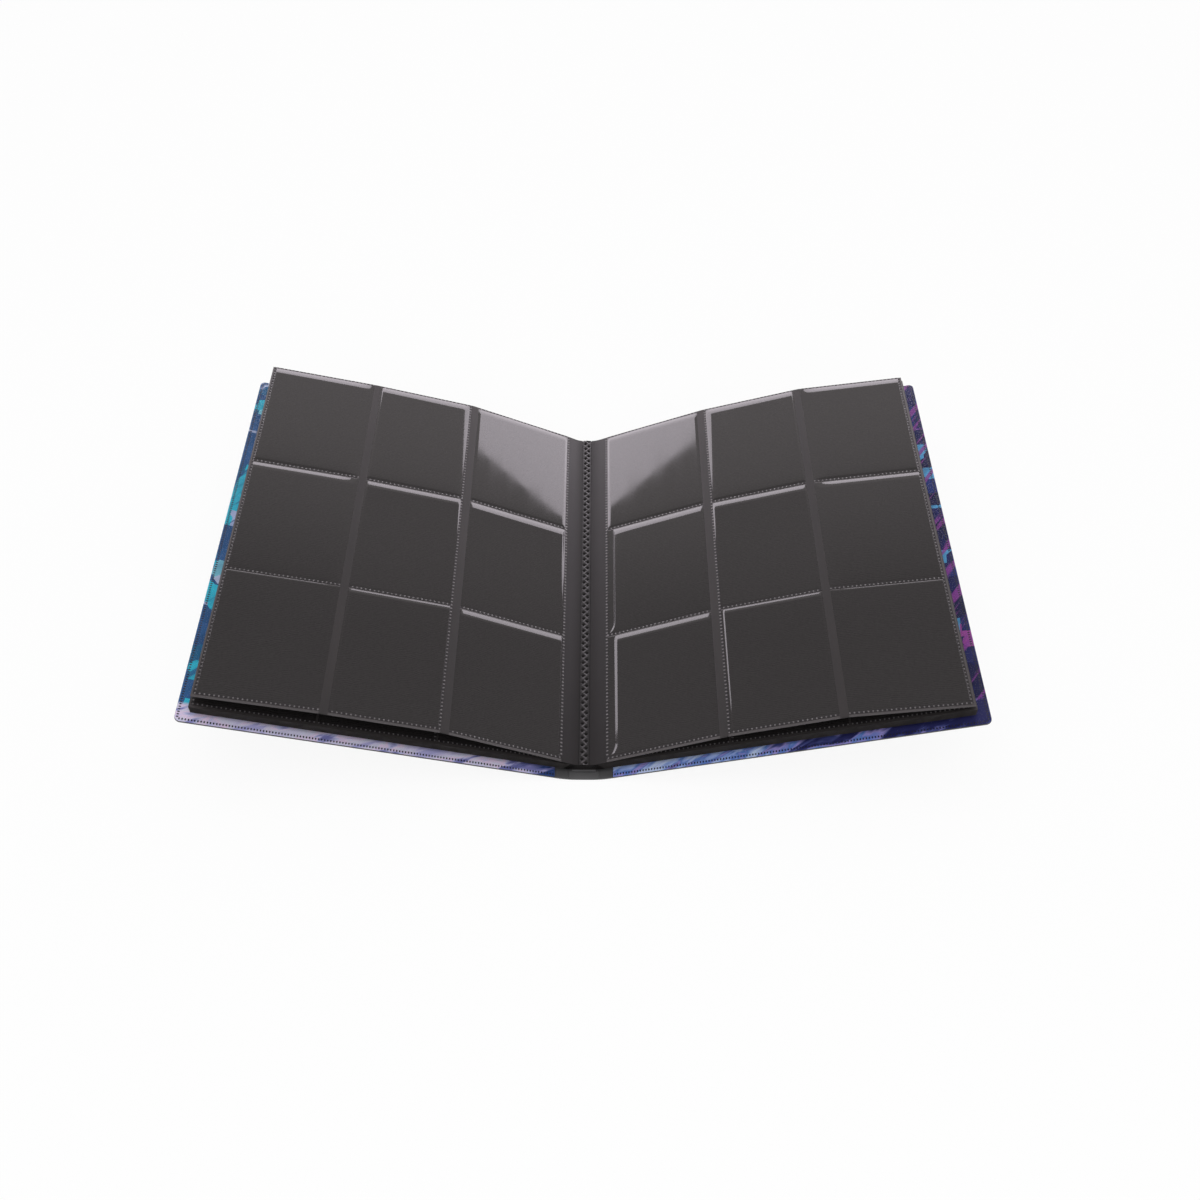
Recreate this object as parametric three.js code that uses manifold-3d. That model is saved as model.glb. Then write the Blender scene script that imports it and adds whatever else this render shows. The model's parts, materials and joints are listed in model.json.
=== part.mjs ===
import * as THREE from 'three';
import { mergeVertices } from 'three/addons/utils/BufferGeometryUtils.js';
import Module from 'manifold-3d';

const wasm = await Module();
wasm.setup();

// Trading card album, lying open on its spine. Millimetres and degrees, +Z up.
// The spine runs along Y, the left cover is at -X, and the pockets open towards +Y.
// The origin is on the table, under the middle of the spine.

// Pockets: a cell holds one sleeved card, and its film stops short of the next row of welds.
const ROW_PITCH = 91.6;
const ROWS = 3;
const INNER_COLUMN = 73.4;
const MIDDLE_COLUMN = 68.4;
const OUTER_COLUMN = 68.9;
const MOUTH_STEP = 1.2;
const WELD_WIDTH = 1.2;
const COLUMN_WELD_GAP = 0.7;

// Leaves.
const LEAVES_PER_SIDE = 10;
const BOTTOM_MARGIN = 1.9;
const OUTER_MARGIN = 0.8;
const GUTTER = 9.8;
const LEAF_BACKING = 0.14;
const LEAF_POCKET = 0.08;

// The top leaf of each side is open to view, so its backing and films are separate sheets.
const TOP_BACKING = 0.25;
const FILM = 0.12;
const POCKET_DEPTH = 0.25;
const SHEET_GAP = 0.05;
const MOUTH_LIP_RISE = 0.12;
const MOUTH_LIP_WIDTH = 1.8;

// Centre seam: double sheets that lie in each other, with their folds stepped outwards.
const SEAM_HALF_WIDTH = 3.2;
const SHEET_STEP_OUT = 0.5;
const SHEET_STEP_DOWN = 0.5;
const TOP_FOLD_OUT = 0.25;
const TOP_FOLD_UP = 0.7;
const FOLD_CLEARANCE = 0.4;
const FOLD_START = 0.2;
const FOLD_MARGIN = 0.15;
const ZIGZAG_PERIOD = 5;
const ZIGZAG_REACH = 1.3;
const ZIGZAG_LINE = 0.8;
const ZIGZAG_RISE = 0.25;

// Cover: spine, two panels, their prints and the clear films over the prints.
const SPINE_WIDTH = 20;
const COVER_SHEET = 0.6;
const COVER_THICKNESS = 1.2;
const FORE_EDGE_OVERHANG = 9.1;
const END_OVERHANG = 4.4;
const COVER_CORNER_RADIUS = 3.5;
const PLAIN_BAND = 7;
const COVER_RIM = 1.2;
const COVER_FILM = 0.2;
const PRINT_THICKNESS = 0.2;
const PRINT_INSET = 2.2;
const PRINT_CLEARANCE = 0.3;
const COVER_FOLD_GAP = 0.25;
const BINDING_STRIP_HEIGHT = 2.8;

// How the album lies: angles above the table, at rest.
const COVER_ANGLE = 15.2;
const LEFT_BOW = { gutter: 22.5, inner: 23.4, middle: 15.7, outer: 13.3 };
const RIGHT_BOW = { gutter: 18, inner: 21.6, middle: 16.6, outer: 8.8 };

const LEAF_HEIGHT = BOTTOM_MARGIN + ROWS * ROW_PITCH;
const TOP_FOLD = SEAM_HALF_WIDTH + SHEET_STEP_OUT + TOP_FOLD_OUT;
const LEAF_REACH = TOP_FOLD + GUTTER + INNER_COLUMN + MIDDLE_COLUMN + OUTER_COLUMN + OUTER_MARGIN;
const COVER_HEIGHT = LEAF_HEIGHT + 2 * END_OVERHANG;
const COVER_PANEL = LEAF_REACH + FORE_EDGE_OVERHANG - SPINE_WIDTH / 2;
const STRIP_TOP = COVER_THICKNESS + BINDING_STRIP_HEIGHT;
const SEAM_TOP = STRIP_TOP + LEAVES_PER_SIDE * SHEET_STEP_DOWN;
const LEAF_BOTTOM = -LEAF_HEIGHT / 2;
const HALF_LEAF = LEAF_BACKING / 2 + LEAF_POCKET;
const FILM_TOP = TOP_BACKING / 2 + POCKET_DEPTH + FILM;
const LOWEST_FOLD = SEAM_HALF_WIDTH + (LEAVES_PER_SIDE - 1) * SHEET_STEP_OUT;

const SIDES = [
  { name: 'left', sign: -1, bow: LEFT_BOW },
  { name: 'right', sign: 1, bow: RIGHT_BOW },
];
const FIRST_COLUMN = TOP_FOLD + GUTTER;
const COLUMNS = [
  { name: 'inner', start: FIRST_COLUMN, width: INNER_COLUMN },
  { name: 'middle', start: FIRST_COLUMN + INNER_COLUMN, width: MIDDLE_COLUMN },
  { name: 'outer', start: FIRST_COLUMN + INNER_COLUMN + MIDDLE_COLUMN, width: OUTER_COLUMN },
];

const charcoal = { color: 0x3a3839, roughness: 0.55, metalness: 0 };
const backingBlack = { color: 0x2c2b2d, roughness: 0.7, metalness: 0 };
const clearFilm = { color: 0x9a989c, roughness: 0.2, metalness: 0, transparent: true, opacity: 0.45 };
const leftInk = { color: 0x6f86bd, roughness: 0.4, metalness: 0 };
const rightInk = { color: 0x3c3f78, roughness: 0.4, metalness: 0 };

const album = new THREE.Group();
const degrees = THREE.MathUtils.degToRad;

function toSolid(geometry) {
  const bare = geometry.clone();
  bare.deleteAttribute('normal');
  bare.deleteAttribute('uv');
  const merged = mergeVertices(bare, 1e-5);
  return new wasm.Manifold(new wasm.Mesh({
    numProp: 3,
    vertProperties: new Float32Array(merged.attributes.position.array),
    triVerts: new Uint32Array(merged.index.array),
  }));
}

function toGeometry(solid) {
  const mesh = solid.getMesh();
  const geometry = new THREE.BufferGeometry();
  geometry.setAttribute('position', new THREE.BufferAttribute(new Float32Array(mesh.vertProperties), 3));
  geometry.setIndex(new THREE.BufferAttribute(new Uint32Array(mesh.triVerts), 1));
  geometry.computeVertexNormals();
  return geometry;
}

// A block between two distances from the spine on one side, two heights up the page and two levels.
function block(sign, near, far, bottom, top, low, high) {
  const geometry = new THREE.BoxGeometry(far - near, top - bottom, high - low);
  geometry.translate(sign * (near + far) / 2, (bottom + top) / 2, (low + high) / 2);
  return geometry;
}

// A flat sheet with its two outer corners rounded, from a level upwards.
function roundedSheet(sign, near, far, halfHeight, radius, low, thickness) {
  const shape = new THREE.Shape();
  shape.moveTo(near, -halfHeight);
  shape.lineTo(far - radius, -halfHeight);
  shape.absarc(far - radius, -halfHeight + radius, radius, -Math.PI / 2, 0, false);
  shape.lineTo(far, halfHeight - radius);
  shape.absarc(far - radius, halfHeight - radius, radius, 0, Math.PI / 2, false);
  shape.lineTo(near, halfHeight);
  shape.closePath();
  const geometry = new THREE.ExtrudeGeometry(shape, { depth: thickness, bevelEnabled: false, curveSegments: 6 });
  geometry.translate(0, 0, low);
  if (sign < 0) {
    geometry.rotateZ(Math.PI);
  }
  return geometry;
}

function addPiece(group, name, geometry, finish) {
  const mesh = new THREE.Mesh(geometry, new THREE.MeshStandardMaterial(finish));
  mesh.name = name;
  group.add(mesh);
}

// A group whose X axis points up the slope of one side, at an angle above its parent's.
function slopeGroup(parent, sign, along, height, angle) {
  const group = new THREE.Group();
  group.position.set(sign * along, 0, height);
  group.rotation.y = -sign * degrees(angle);
  parent.add(group);
  return group;
}

function rowWeld(row) {
  return LEAF_BOTTOM + BOTTOM_MARGIN + row * ROW_PITCH;
}

function rowMouth(row) {
  return rowWeld(row + 1) - MOUTH_STEP;
}

function foldHeight(number) {
  return SEAM_TOP - (number - 0.5) * SHEET_STEP_DOWN;
}

function addSpine() {
  const half = SPINE_WIDTH / 2 - COVER_FOLD_GAP;
  const end = COVER_HEIGHT / 2;
  addPiece(album, 'spine_outer_sheet', block(1, -half, half, -end, end, 0, COVER_SHEET), charcoal);
  const linerLow = COVER_SHEET + SHEET_GAP;
  addPiece(album, 'spine_liner', block(1, -half, half, -end, end, linerLow, COVER_THICKNESS), charcoal);
}

// The strip is as wide as the lowest sheet of the bundle, so the bundle sits on all of it.
function addBindingStrip() {
  const half = LOWEST_FOLD - FOLD_CLEARANCE;
  const low = COVER_THICKNESS + SHEET_GAP;
  const high = STRIP_TOP - SHEET_GAP;
  const strip = block(1, -half, half, LEAF_BOTTOM, -LEAF_BOTTOM, low, high);
  addPiece(album, 'binding_strip', strip, charcoal);
}

// Each double sheet is one step of the outline, wider and lower than the sheet that lies in it.
function seamProfile() {
  const shape = new THREE.Shape();
  const widest = LOWEST_FOLD - FOLD_CLEARANCE;
  shape.moveTo(-widest, STRIP_TOP);
  shape.lineTo(widest, STRIP_TOP);
  for (const sign of [1, -1]) {
    for (let i = 0; i < LEAVES_PER_SIDE; i += 1) {
      const sheet = sign > 0 ? LEAVES_PER_SIDE - 1 - i : i;
      const x = sign * (SEAM_HALF_WIDTH + sheet * SHEET_STEP_OUT - FOLD_CLEARANCE);
      const high = SEAM_TOP - sheet * SHEET_STEP_DOWN;
      const low = high - SHEET_STEP_DOWN;
      shape.lineTo(x, sign > 0 ? low : high);
      shape.lineTo(x, sign > 0 ? high : low);
    }
  }
  return shape;
}

// The weld's raised line: a ribbon that runs from side to side along the whole seam.
function zigzagShape() {
  const turns = Math.floor((LEAF_HEIGHT - 2 * ZIGZAG_LINE) / (ZIGZAG_PERIOD / 2));
  const start = -turns * ZIGZAG_PERIOD / 4;
  const edge = (shift) => {
    const points = [];
    for (let i = 0; i <= turns; i += 1) {
      const x = (i % 2 === 0 ? 1 : -1) * ZIGZAG_REACH + shift;
      points.push(new THREE.Vector2(x, start + i * ZIGZAG_PERIOD / 2));
    }
    return points;
  };
  return new THREE.Shape([...edge(ZIGZAG_LINE / 2), ...edge(-ZIGZAG_LINE / 2).reverse()]);
}

function addPageSeam() {
  const bundle = new THREE.ExtrudeGeometry(seamProfile(), { depth: LEAF_HEIGHT, bevelEnabled: false });
  bundle.rotateX(Math.PI / 2);
  bundle.translate(0, LEAF_HEIGHT / 2, 0);
  const sunk = SHEET_STEP_DOWN / 2;
  const line = new THREE.ExtrudeGeometry(zigzagShape(), { depth: sunk + ZIGZAG_RISE, bevelEnabled: false });
  line.translate(0, 0, SEAM_TOP - sunk);
  addPiece(album, 'page_seam', toGeometry(toSolid(bundle).add(toSolid(line))), backingBlack);
}

// The print lies in a shallow recess of the outer sheet, under a film that lies flat on the sheet round it.
function addCover(side) {
  const { name, sign } = side;
  const cover = slopeGroup(album, sign, SPINE_WIDTH / 2, COVER_THICKNESS, COVER_ANGLE);
  const end = COVER_HEIGHT / 2;
  const land = -COVER_FILM - SHEET_GAP;
  const filmNear = PLAIN_BAND + FOLD_CLEARANCE;
  const filmFar = COVER_PANEL - COVER_RIM;
  const filmEnd = end - COVER_RIM;
  const printNear = filmNear + PRINT_INSET;
  const printFar = filmFar - PRINT_INSET;
  const printEnd = filmEnd - PRINT_INSET;
  const printLow = land - PRINT_THICKNESS;

  const sheet = toSolid(roundedSheet(
    sign, COVER_FOLD_GAP, COVER_PANEL, end, COVER_CORNER_RADIUS, -COVER_THICKNESS, land + COVER_THICKNESS,
  ));
  const band = toSolid(block(sign, COVER_FOLD_GAP, PLAIN_BAND, -end, end, -COVER_THICKNESS, 0));
  const recess = toSolid(block(sign, printNear, printFar, -printEnd, printEnd, printLow - SHEET_GAP, 0));
  addPiece(cover, name + '_cover_outer_sheet', toGeometry(sheet.add(band).subtract(recess)), charcoal);

  const near = printNear + PRINT_CLEARANCE;
  const far = printFar - PRINT_CLEARANCE;
  const top = printEnd - PRINT_CLEARANCE;
  const print = block(sign, near, far, -top, top, printLow, land);
  addPiece(cover, name + '_cover_print', print, sign < 0 ? leftInk : rightInk);

  const film = roundedSheet(
    sign, filmNear, filmFar, filmEnd, COVER_CORNER_RADIUS - COVER_RIM, -COVER_FILM, COVER_FILM,
  );
  addPiece(cover, name + '_cover_clear_film', film, clearFilm);
}

// A leaf under the top one: backing sheet with the nine pockets of both faces standing a little proud.
function addLowerLeaf(side, number) {
  const out = SEAM_HALF_WIDTH + (number - 1) * SHEET_STEP_OUT;
  const leaf = slopeGroup(album, side.sign, out, foldHeight(number), COVER_ANGLE);
  const half = LEAF_BACKING / 2;
  let solid = toSolid(block(
    side.sign, FOLD_START, LEAF_REACH - out, LEAF_BOTTOM, -LEAF_BOTTOM, -half, half,
  ));
  for (const column of COLUMNS) {
    const near = column.start - out + COLUMN_WELD_GAP;
    const far = near + column.width - 2 * COLUMN_WELD_GAP;
    for (let row = 0; row < ROWS; row += 1) {
      const pocket = block(side.sign, near, far, rowWeld(row), rowMouth(row), -HALF_LEAF, HALF_LEAF);
      solid = solid.add(toSolid(pocket));
    }
  }
  const name = side.name + '_leaf_' + String(number).padStart(2, '0');
  addPiece(leaf, name, toGeometry(solid), backingBlack);
}

// The space under a pocket's film, open towards the backing and at the mouth.
function pocketSpace(sign, face, near, far, row) {
  const levels = [face * (TOP_BACKING / 2 - SHEET_GAP), face * (FILM_TOP - FILM)];
  return toSolid(block(
    sign, near + WELD_WIDTH, far - WELD_WIDTH, rowWeld(row) + WELD_WIDTH, rowMouth(row) + MOUTH_STEP,
    Math.min(...levels), Math.max(...levels),
  ));
}

// The raised lip along a pocket's mouth, where the film is curled up by the cut.
function mouthLip(sign, near, far, row) {
  const mouth = rowMouth(row);
  const shape = new THREE.Shape();
  shape.moveTo(mouth - MOUTH_LIP_WIDTH, FILM_TOP - FILM / 2);
  shape.lineTo(mouth, FILM_TOP - FILM / 2);
  shape.lineTo(mouth, FILM_TOP + MOUTH_LIP_RISE);
  shape.lineTo(mouth - FILM, FILM_TOP + MOUTH_LIP_RISE);
  shape.closePath();
  const width = far - near - 2 * WELD_WIDTH;
  const geometry = new THREE.ExtrudeGeometry(shape, { depth: width, bevelEnabled: false });
  geometry.rotateX(Math.PI / 2);
  geometry.rotateZ(Math.PI / 2);
  geometry.translate(sign * (near + far) / 2 - width / 2, 0, 0);
  return toSolid(geometry);
}

function frontFilm(sign, near, far, row) {
  const low = TOP_BACKING / 2 + SHEET_GAP;
  const sheet = toSolid(block(sign, near, far, rowWeld(row), rowMouth(row), low, FILM_TOP));
  const open = sheet.subtract(pocketSpace(sign, 1, near, far, row));
  return toGeometry(open.add(mouthLip(sign, near, far, row)));
}

// The back face's film is one sheet a column, slit across at each mouth.
function backFilm(sign, near, far) {
  const high = -TOP_BACKING / 2 - SHEET_GAP;
  let sheet = toSolid(block(sign, near, far, rowWeld(0), rowMouth(ROWS - 1), -FILM_TOP, high));
  for (let row = 0; row < ROWS; row += 1) {
    sheet = sheet.subtract(pocketSpace(sign, -1, near, far, row));
    const slit = block(
      sign, near + WELD_WIDTH, far - WELD_WIDTH, rowMouth(row), rowWeld(row + 1), -2 * FILM_TOP, 0,
    );
    sheet = sheet.subtract(toSolid(slit));
  }
  return toGeometry(sheet);
}

function addTopLeafColumn(group, side, column, isLast) {
  const half = TOP_BACKING / 2;
  const end = isLast ? column.width + OUTER_MARGIN : column.width - FOLD_MARGIN;
  const backing = block(side.sign, FOLD_MARGIN, end, LEAF_BOTTOM, -LEAF_BOTTOM, -half, half);
  const prefix = side.name + '_top_leaf_';
  addPiece(group, prefix + 'backing_' + column.name, backing, backingBlack);
  const near = COLUMN_WELD_GAP;
  const far = column.width - COLUMN_WELD_GAP;
  for (let row = 0; row < ROWS; row += 1) {
    const name = prefix + 'film_' + column.name + '_row_' + (row + 1);
    addPiece(group, name, frontFilm(side.sign, near, far, row), clearFilm);
  }
  addPiece(group, prefix + 'back_film_' + column.name, backFilm(side.sign, near, far), clearFilm);
}

// The top leaf bows up from the stack: each column is tilted by its own angle at the weld lines.
// Its fold lies on the fold of the leaf below, high enough to swing over the seam.
function addTopLeaf(side) {
  const { sign, bow } = side;
  const turn = slopeGroup(album, sign, TOP_FOLD, foldHeight(2) + TOP_FOLD_UP, bow.gutter);
  const half = TOP_BACKING / 2;
  const band = block(sign, FOLD_START, GUTTER - FOLD_MARGIN, LEAF_BOTTOM, -LEAF_BOTTOM, -half, half);
  addPiece(turn, side.name + '_top_leaf_gutter_band', band, backingBlack);

  let parent = turn;
  let along = GUTTER;
  let angle = bow.gutter;
  COLUMNS.forEach((column, index) => {
    const group = slopeGroup(parent, sign, along, 0, bow[column.name] - angle);
    addTopLeafColumn(group, side, column, index === COLUMNS.length - 1);
    parent = group;
    along = column.width;
    angle = bow[column.name];
  });
}

addSpine();
addBindingStrip();
addPageSeam();
for (const side of SIDES) {
  addCover(side);
  for (let number = 2; number <= LEAVES_PER_SIDE; number += 1) {
    addLowerLeaf(side, number);
  }
  addTopLeaf(side);
}

export default album;
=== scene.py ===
"""Trading card album, lying open on its spine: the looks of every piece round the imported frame."""

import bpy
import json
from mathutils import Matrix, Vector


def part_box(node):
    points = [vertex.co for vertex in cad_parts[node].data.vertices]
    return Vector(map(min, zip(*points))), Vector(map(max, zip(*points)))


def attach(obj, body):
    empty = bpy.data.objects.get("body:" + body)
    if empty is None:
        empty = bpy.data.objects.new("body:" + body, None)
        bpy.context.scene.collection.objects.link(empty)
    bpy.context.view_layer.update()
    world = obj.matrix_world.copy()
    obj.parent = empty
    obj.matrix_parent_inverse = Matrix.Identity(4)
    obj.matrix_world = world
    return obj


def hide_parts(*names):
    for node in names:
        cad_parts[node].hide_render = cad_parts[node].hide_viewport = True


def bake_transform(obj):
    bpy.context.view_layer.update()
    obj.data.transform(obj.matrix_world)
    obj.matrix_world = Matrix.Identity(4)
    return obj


bl_info = {
    "name": "Trading Card Album",
    "version": (1, 0, 0),
    "blender": (4, 5, 0),
    "location": "View3D > Sidebar > Album",
    "description": "Builds an open soft-cover pocket album, its studio floor, lights and camera",
    "category": "Object",
}

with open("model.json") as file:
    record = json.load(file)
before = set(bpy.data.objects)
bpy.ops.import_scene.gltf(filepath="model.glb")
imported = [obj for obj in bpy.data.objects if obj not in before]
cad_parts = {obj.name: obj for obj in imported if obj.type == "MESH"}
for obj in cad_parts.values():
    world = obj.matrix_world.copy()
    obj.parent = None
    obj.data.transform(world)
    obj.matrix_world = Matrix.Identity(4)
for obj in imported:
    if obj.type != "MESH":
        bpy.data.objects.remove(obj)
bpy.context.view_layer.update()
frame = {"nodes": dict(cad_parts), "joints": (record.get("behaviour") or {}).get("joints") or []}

import json
import math
from collections import namedtuple

import bpy
import numpy as np
from bpy.props import FloatProperty, FloatVectorProperty, PointerProperty
from mathutils import Matrix, Vector

MM = 0.001

SIDES = {"left": -1, "right": 1}
COLUMNS = ("inner", "middle", "outer")
ROWS = (1, 2, 3)
BOTTOM_ROW, TOP_ROW = ROWS[0], ROWS[-1]
LOWER_LEAVES = range(2, 11)
JOINTS = {joint["name"]: joint for joint in frame["joints"]}

# Thicknesses and margins that the frame's plates have, in metres.
TOP_BACKING = 0.25 * MM
LEAF_POCKET = 0.15 * MM
OUTER_MARGIN = 0.8 * MM
COVER_THICKNESS = 1.2 * MM
SPINE_SHEET = 0.6 * MM
COVER_RIM = 1.2 * MM
PLAIN_BAND = 7 * MM
CORNER_RADIUS = 3.5 * MM
COLUMN_WELD_GAP = 0.7 * MM
# Air between a sheet and the next one that lies on it, so that no two faces coincide.
SHEET_GAP = 0.02 * MM
# Two places that are nearer than this are the same.
NEARLY = 1e-6


def pivot(joint):
    """A joint's place in the frame, in metres."""
    return Vector(JOINTS[joint]["pos_m"])


def slope_between(near, far):
    """The angle above the table of the line from one pivot to the next, whichever side it is on."""
    return math.atan2(far.z - near.z, abs(far.x - near.x))


def edge_slope(place, node, half_thickness):
    """The slope of a plate that starts at a pivot, and its length, from the plate's far corners."""
    low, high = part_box(node)
    across = max(abs(low.x), abs(high.x)) - abs(place.x)
    up = high.z - place.z
    angle = math.atan2(up, across)
    across -= half_thickness * math.sin(angle)
    up -= half_thickness * math.cos(angle)
    return math.atan2(up, across), math.hypot(across, up)


def top_leaf(side):
    """Pivot, slope and width of the gutter band and of each column of a side's top leaf."""
    pivots = [pivot(f"{side}_top_leaf_{joint}") for joint in ("turn", "bow", "bow_middle", "bow_outer")]
    places = {}
    for name, near, far in zip(("gutter", "inner", "middle"), pivots, pivots[1:]):
        places[name] = (near, slope_between(near, far), (far - near).length)
    node = f"{side}_top_leaf_backing_outer"
    slope, length = edge_slope(pivots[3], node, TOP_BACKING / 2)
    places["outer"] = (pivots[3], slope, length - OUTER_MARGIN)
    return places


TOP_LEAF = {side: top_leaf(side) for side in SIDES}
PAGE_BOTTOM, PAGE_TOP = (corner.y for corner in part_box("page_seam"))
# The top of the welded seam stands this far above the fold line of leaf two.
SEAM_RISE = 0.75 * MM
SEAM_TOP = pivot("left_leaf_02_fold").z + SEAM_RISE
COVER_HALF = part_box("left_cover_outer_sheet")[1].y
FOLD = pivot("right_cover_fold")
COVER_SLOPE, COVER_PANEL = edge_slope(FOLD, "right_cover_clear_film", 0)
COVER_PANEL += COVER_RIM


def linear(code):
    """A colour written as sRGB hex, as the linear values that a shader takes."""
    channels = [int(code[i:i + 2], 16) / 255 for i in (1, 3, 5)]
    return tuple(c / 12.92 if c <= 0.04045 else ((c + 0.055) / 1.055) ** 2.4 for c in channels) + (1.0,)


class AlbumSizes(bpy.types.PropertyGroup):
    """Sizes of what the frame leaves plain: films, welds, seam and sheet folds."""
    film_thickness: FloatProperty(
        name="Film thickness", description="Thickness of the clear pocket film",
        default=0.1 * MM, unit="LENGTH", precision=5)
    film_crown: FloatProperty(
        name="Film crown", description="How far an empty pocket's film stands off its backing",
        default=0.62 * MM, unit="LENGTH", precision=5)
    back_crown: FloatProperty(
        name="Back film crown", description="The same for films between two leaves",
        default=0.3 * MM, unit="LENGTH", precision=5)
    film_rise: FloatProperty(
        name="Film rise", description="Width over which a film climbs from its weld",
        default=1.8 * MM, unit="LENGTH", precision=4)
    middle_rise: FloatProperty(
        name="Middle rise", description="The same at the near side of the middle column's top film",
        default=4.8 * MM, unit="LENGTH", precision=4)
    wide_rise: FloatProperty(
        name="Wide rise", description="The same for the outer columns' films, which climb slowly",
        default=12.0 * MM, unit="LENGTH", precision=4)
    tight_rise: FloatProperty(
        name="Tight rise",
        description="The same where a film is drawn tight, at the leaf's outer edge and in the bottom row",
        default=0.4 * MM, unit="LENGTH", precision=4)
    early_fullness: FloatProperty(
        name="Early fullness",
        description="Power with which a film fills out that is full just above its foot",
        default=0.2)
    late_fullness: FloatProperty(
        name="Late fullness",
        description="Power with which a film fills out that is full only at its mouth",
        default=3.0)
    film_arch: FloatProperty(
        name="Film arch", description="Extra height of a front film halfway across its pocket",
        default=0.22 * MM, unit="LENGTH", precision=5)
    hook_height: FloatProperty(
        name="Hook height",
        description="Height above the foot over which a film's crease runs out of the corner",
        default=9 * MM, unit="LENGTH", precision=4)
    lip_width: FloatProperty(
        name="Lip width", description="Width over which a film sinks towards its mouth",
        default=5.4 * MM, unit="LENGTH", precision=4)
    lip_angle: FloatProperty(
        name="Lip angle", description="Slope of the film at its very mouth",
        default=math.radians(11.6), subtype="ANGLE")
    weld_width: FloatProperty(
        name="Weld width", description="Width of the flat welded border of a pocket film",
        default=1.2 * MM, unit="LENGTH", precision=4)
    far_weld_width: FloatProperty(
        name="Far weld width", description="Width of the plain welded band at the far side of a column",
        default=3.6 * MM, unit="LENGTH", precision=4)
    weld_pitch: FloatProperty(
        name="Weld pitch", description="Distance from one weld dot of a pocket to the next",
        default=2.6 * MM, unit="LENGTH", precision=4)
    weld_dot_long: FloatProperty(
        name="Weld dot length", description="Longer width of a pocket's weld dot",
        default=1.5 * MM, unit="LENGTH", precision=4)
    weld_dot_short: FloatProperty(
        name="Weld dot width", description="Shorter width of a pocket's weld dot",
        default=1.0 * MM, unit="LENGTH", precision=4)
    cover_dot_pitch: FloatProperty(
        name="Cover dot pitch", description="Distance from one dot round the cover film to the next",
        default=1.7 * MM, unit="LENGTH", precision=4)
    cover_dot_inset: FloatProperty(
        name="Cover dot inset", description="Distance of the dots from the cover's edge",
        default=1.8 * MM, unit="LENGTH", precision=4)
    zigzag_period: FloatProperty(
        name="Zigzag period", description="Length of one turn of the seam's zigzag weld",
        default=5.08 * MM, unit="LENGTH", precision=4)
    zigzag_reach: FloatProperty(
        name="Zigzag reach", description="How far the zigzag swings to each side",
        default=1.15 * MM, unit="LENGTH", precision=4)
    seam_half_width: FloatProperty(
        name="Seam half width", description="Half the width of the welded strip in the gutter",
        default=2.8 * MM, unit="LENGTH", precision=4)
    spine_curve: FloatProperty(
        name="Spine curve", description="How far the cover's fold is rounded to each side",
        default=6 * MM, unit="LENGTH", precision=4)


class AlbumColours(bpy.types.PropertyGroup):
    """Colours and brightness of the stage."""
    floor: FloatVectorProperty(
        name="Floor", description="Colour of the studio floor", subtype="COLOR", size=3,
        default=linear("#f3f3f3")[:3], min=0, max=1)
    panel: FloatVectorProperty(
        name="Back panel colour", description="Colour of the panel that the films mirror", subtype="COLOR",
        size=3, default=linear("#fef5ff")[:3], min=0, max=1)
    panel_light: FloatProperty(
        name="Back panel light", description="Brightness of the panel that the films mirror",
        default=5.76, min=0)
    top_light: FloatProperty(
        name="Top light", description="Brightness of the soft light above", default=1.1, min=0)


# Nodes.

def add_node(tree, kind, inputs=None, stops=(), **settings):
    """Adds one node. Settings are its attributes, and inputs hold values or other nodes' outputs.

    Stops are a colour ramp's places and sRGB colours."""
    made = tree.nodes.new(kind)
    for key, value in settings.items():
        setattr(made, key, value)
    for key, value in (inputs or {}).items():
        if isinstance(value, bpy.types.NodeSocket):
            tree.links.new(value, made.inputs[key])
        else:
            made.inputs[key].default_value = value
    if stops:
        elements = made.color_ramp.elements
        while len(elements) < len(stops):
            elements.new(0.5)
        for element, (place, code) in zip(elements, stops):
            element.position = place
            element.color = linear(code)
    return made


def new_material(name, **shader):
    """A material with one Principled shader, and the node tree that feeds it."""
    made = bpy.data.materials.new(name)
    made.use_nodes = True
    tree = made.node_tree
    tree.nodes.clear()
    principled = add_node(tree, "ShaderNodeBsdfPrincipled", shader)
    add_node(tree, "ShaderNodeOutputMaterial", {"Surface": principled.outputs[0]})
    return made, tree, principled


def object_place(tree, scale=(1, 1, 1), turn=0.0, shift=(0, 0, 0)):
    """Object coordinates, turned about Z, and then scaled and shifted."""
    place = add_node(tree, "ShaderNodeTexCoord").outputs["Object"]
    if turn:
        place = add_node(tree, "ShaderNodeMapping", {"Vector": place, "Rotation": (0, 0, turn)}).outputs[0]
    moved = add_node(tree, "ShaderNodeMapping", {"Vector": place, "Scale": scale, "Location": shift})
    return moved.outputs[0]


def grain(tree, period, detail=2.0, stretch=(1, 1, 1)):
    """A cloudy pattern whose grains are about a period across, in metres."""
    place = object_place(tree, tuple(share / period for share in stretch))
    noise = add_node(tree, "ShaderNodeTexNoise", {"Vector": place, "Scale": 1.0, "Detail": detail})
    return noise.outputs[0]


# Materials.

POLYPROPYLENE_IOR = 1.49
FILM_IOR = 1.52
PAPER_IOR = 1.5


def mottled_polypropylene(name, roughness, specular, period, stops, detail=1.0, stretch=(1, 1, 1)):
    """Polypropylene with one faint cloud of tones, whose grains are a period across."""
    made, tree, shader = new_material(
        name, **{"Roughness": roughness, "IOR": POLYPROPYLENE_IOR, "Specular IOR Level": specular})
    tone = add_node(tree, "ShaderNodeValToRGB", {0: grain(tree, period, detail, stretch)}, stops)
    tree.links.new(tone.outputs[0], shader.inputs["Base Color"])
    return made


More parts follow.
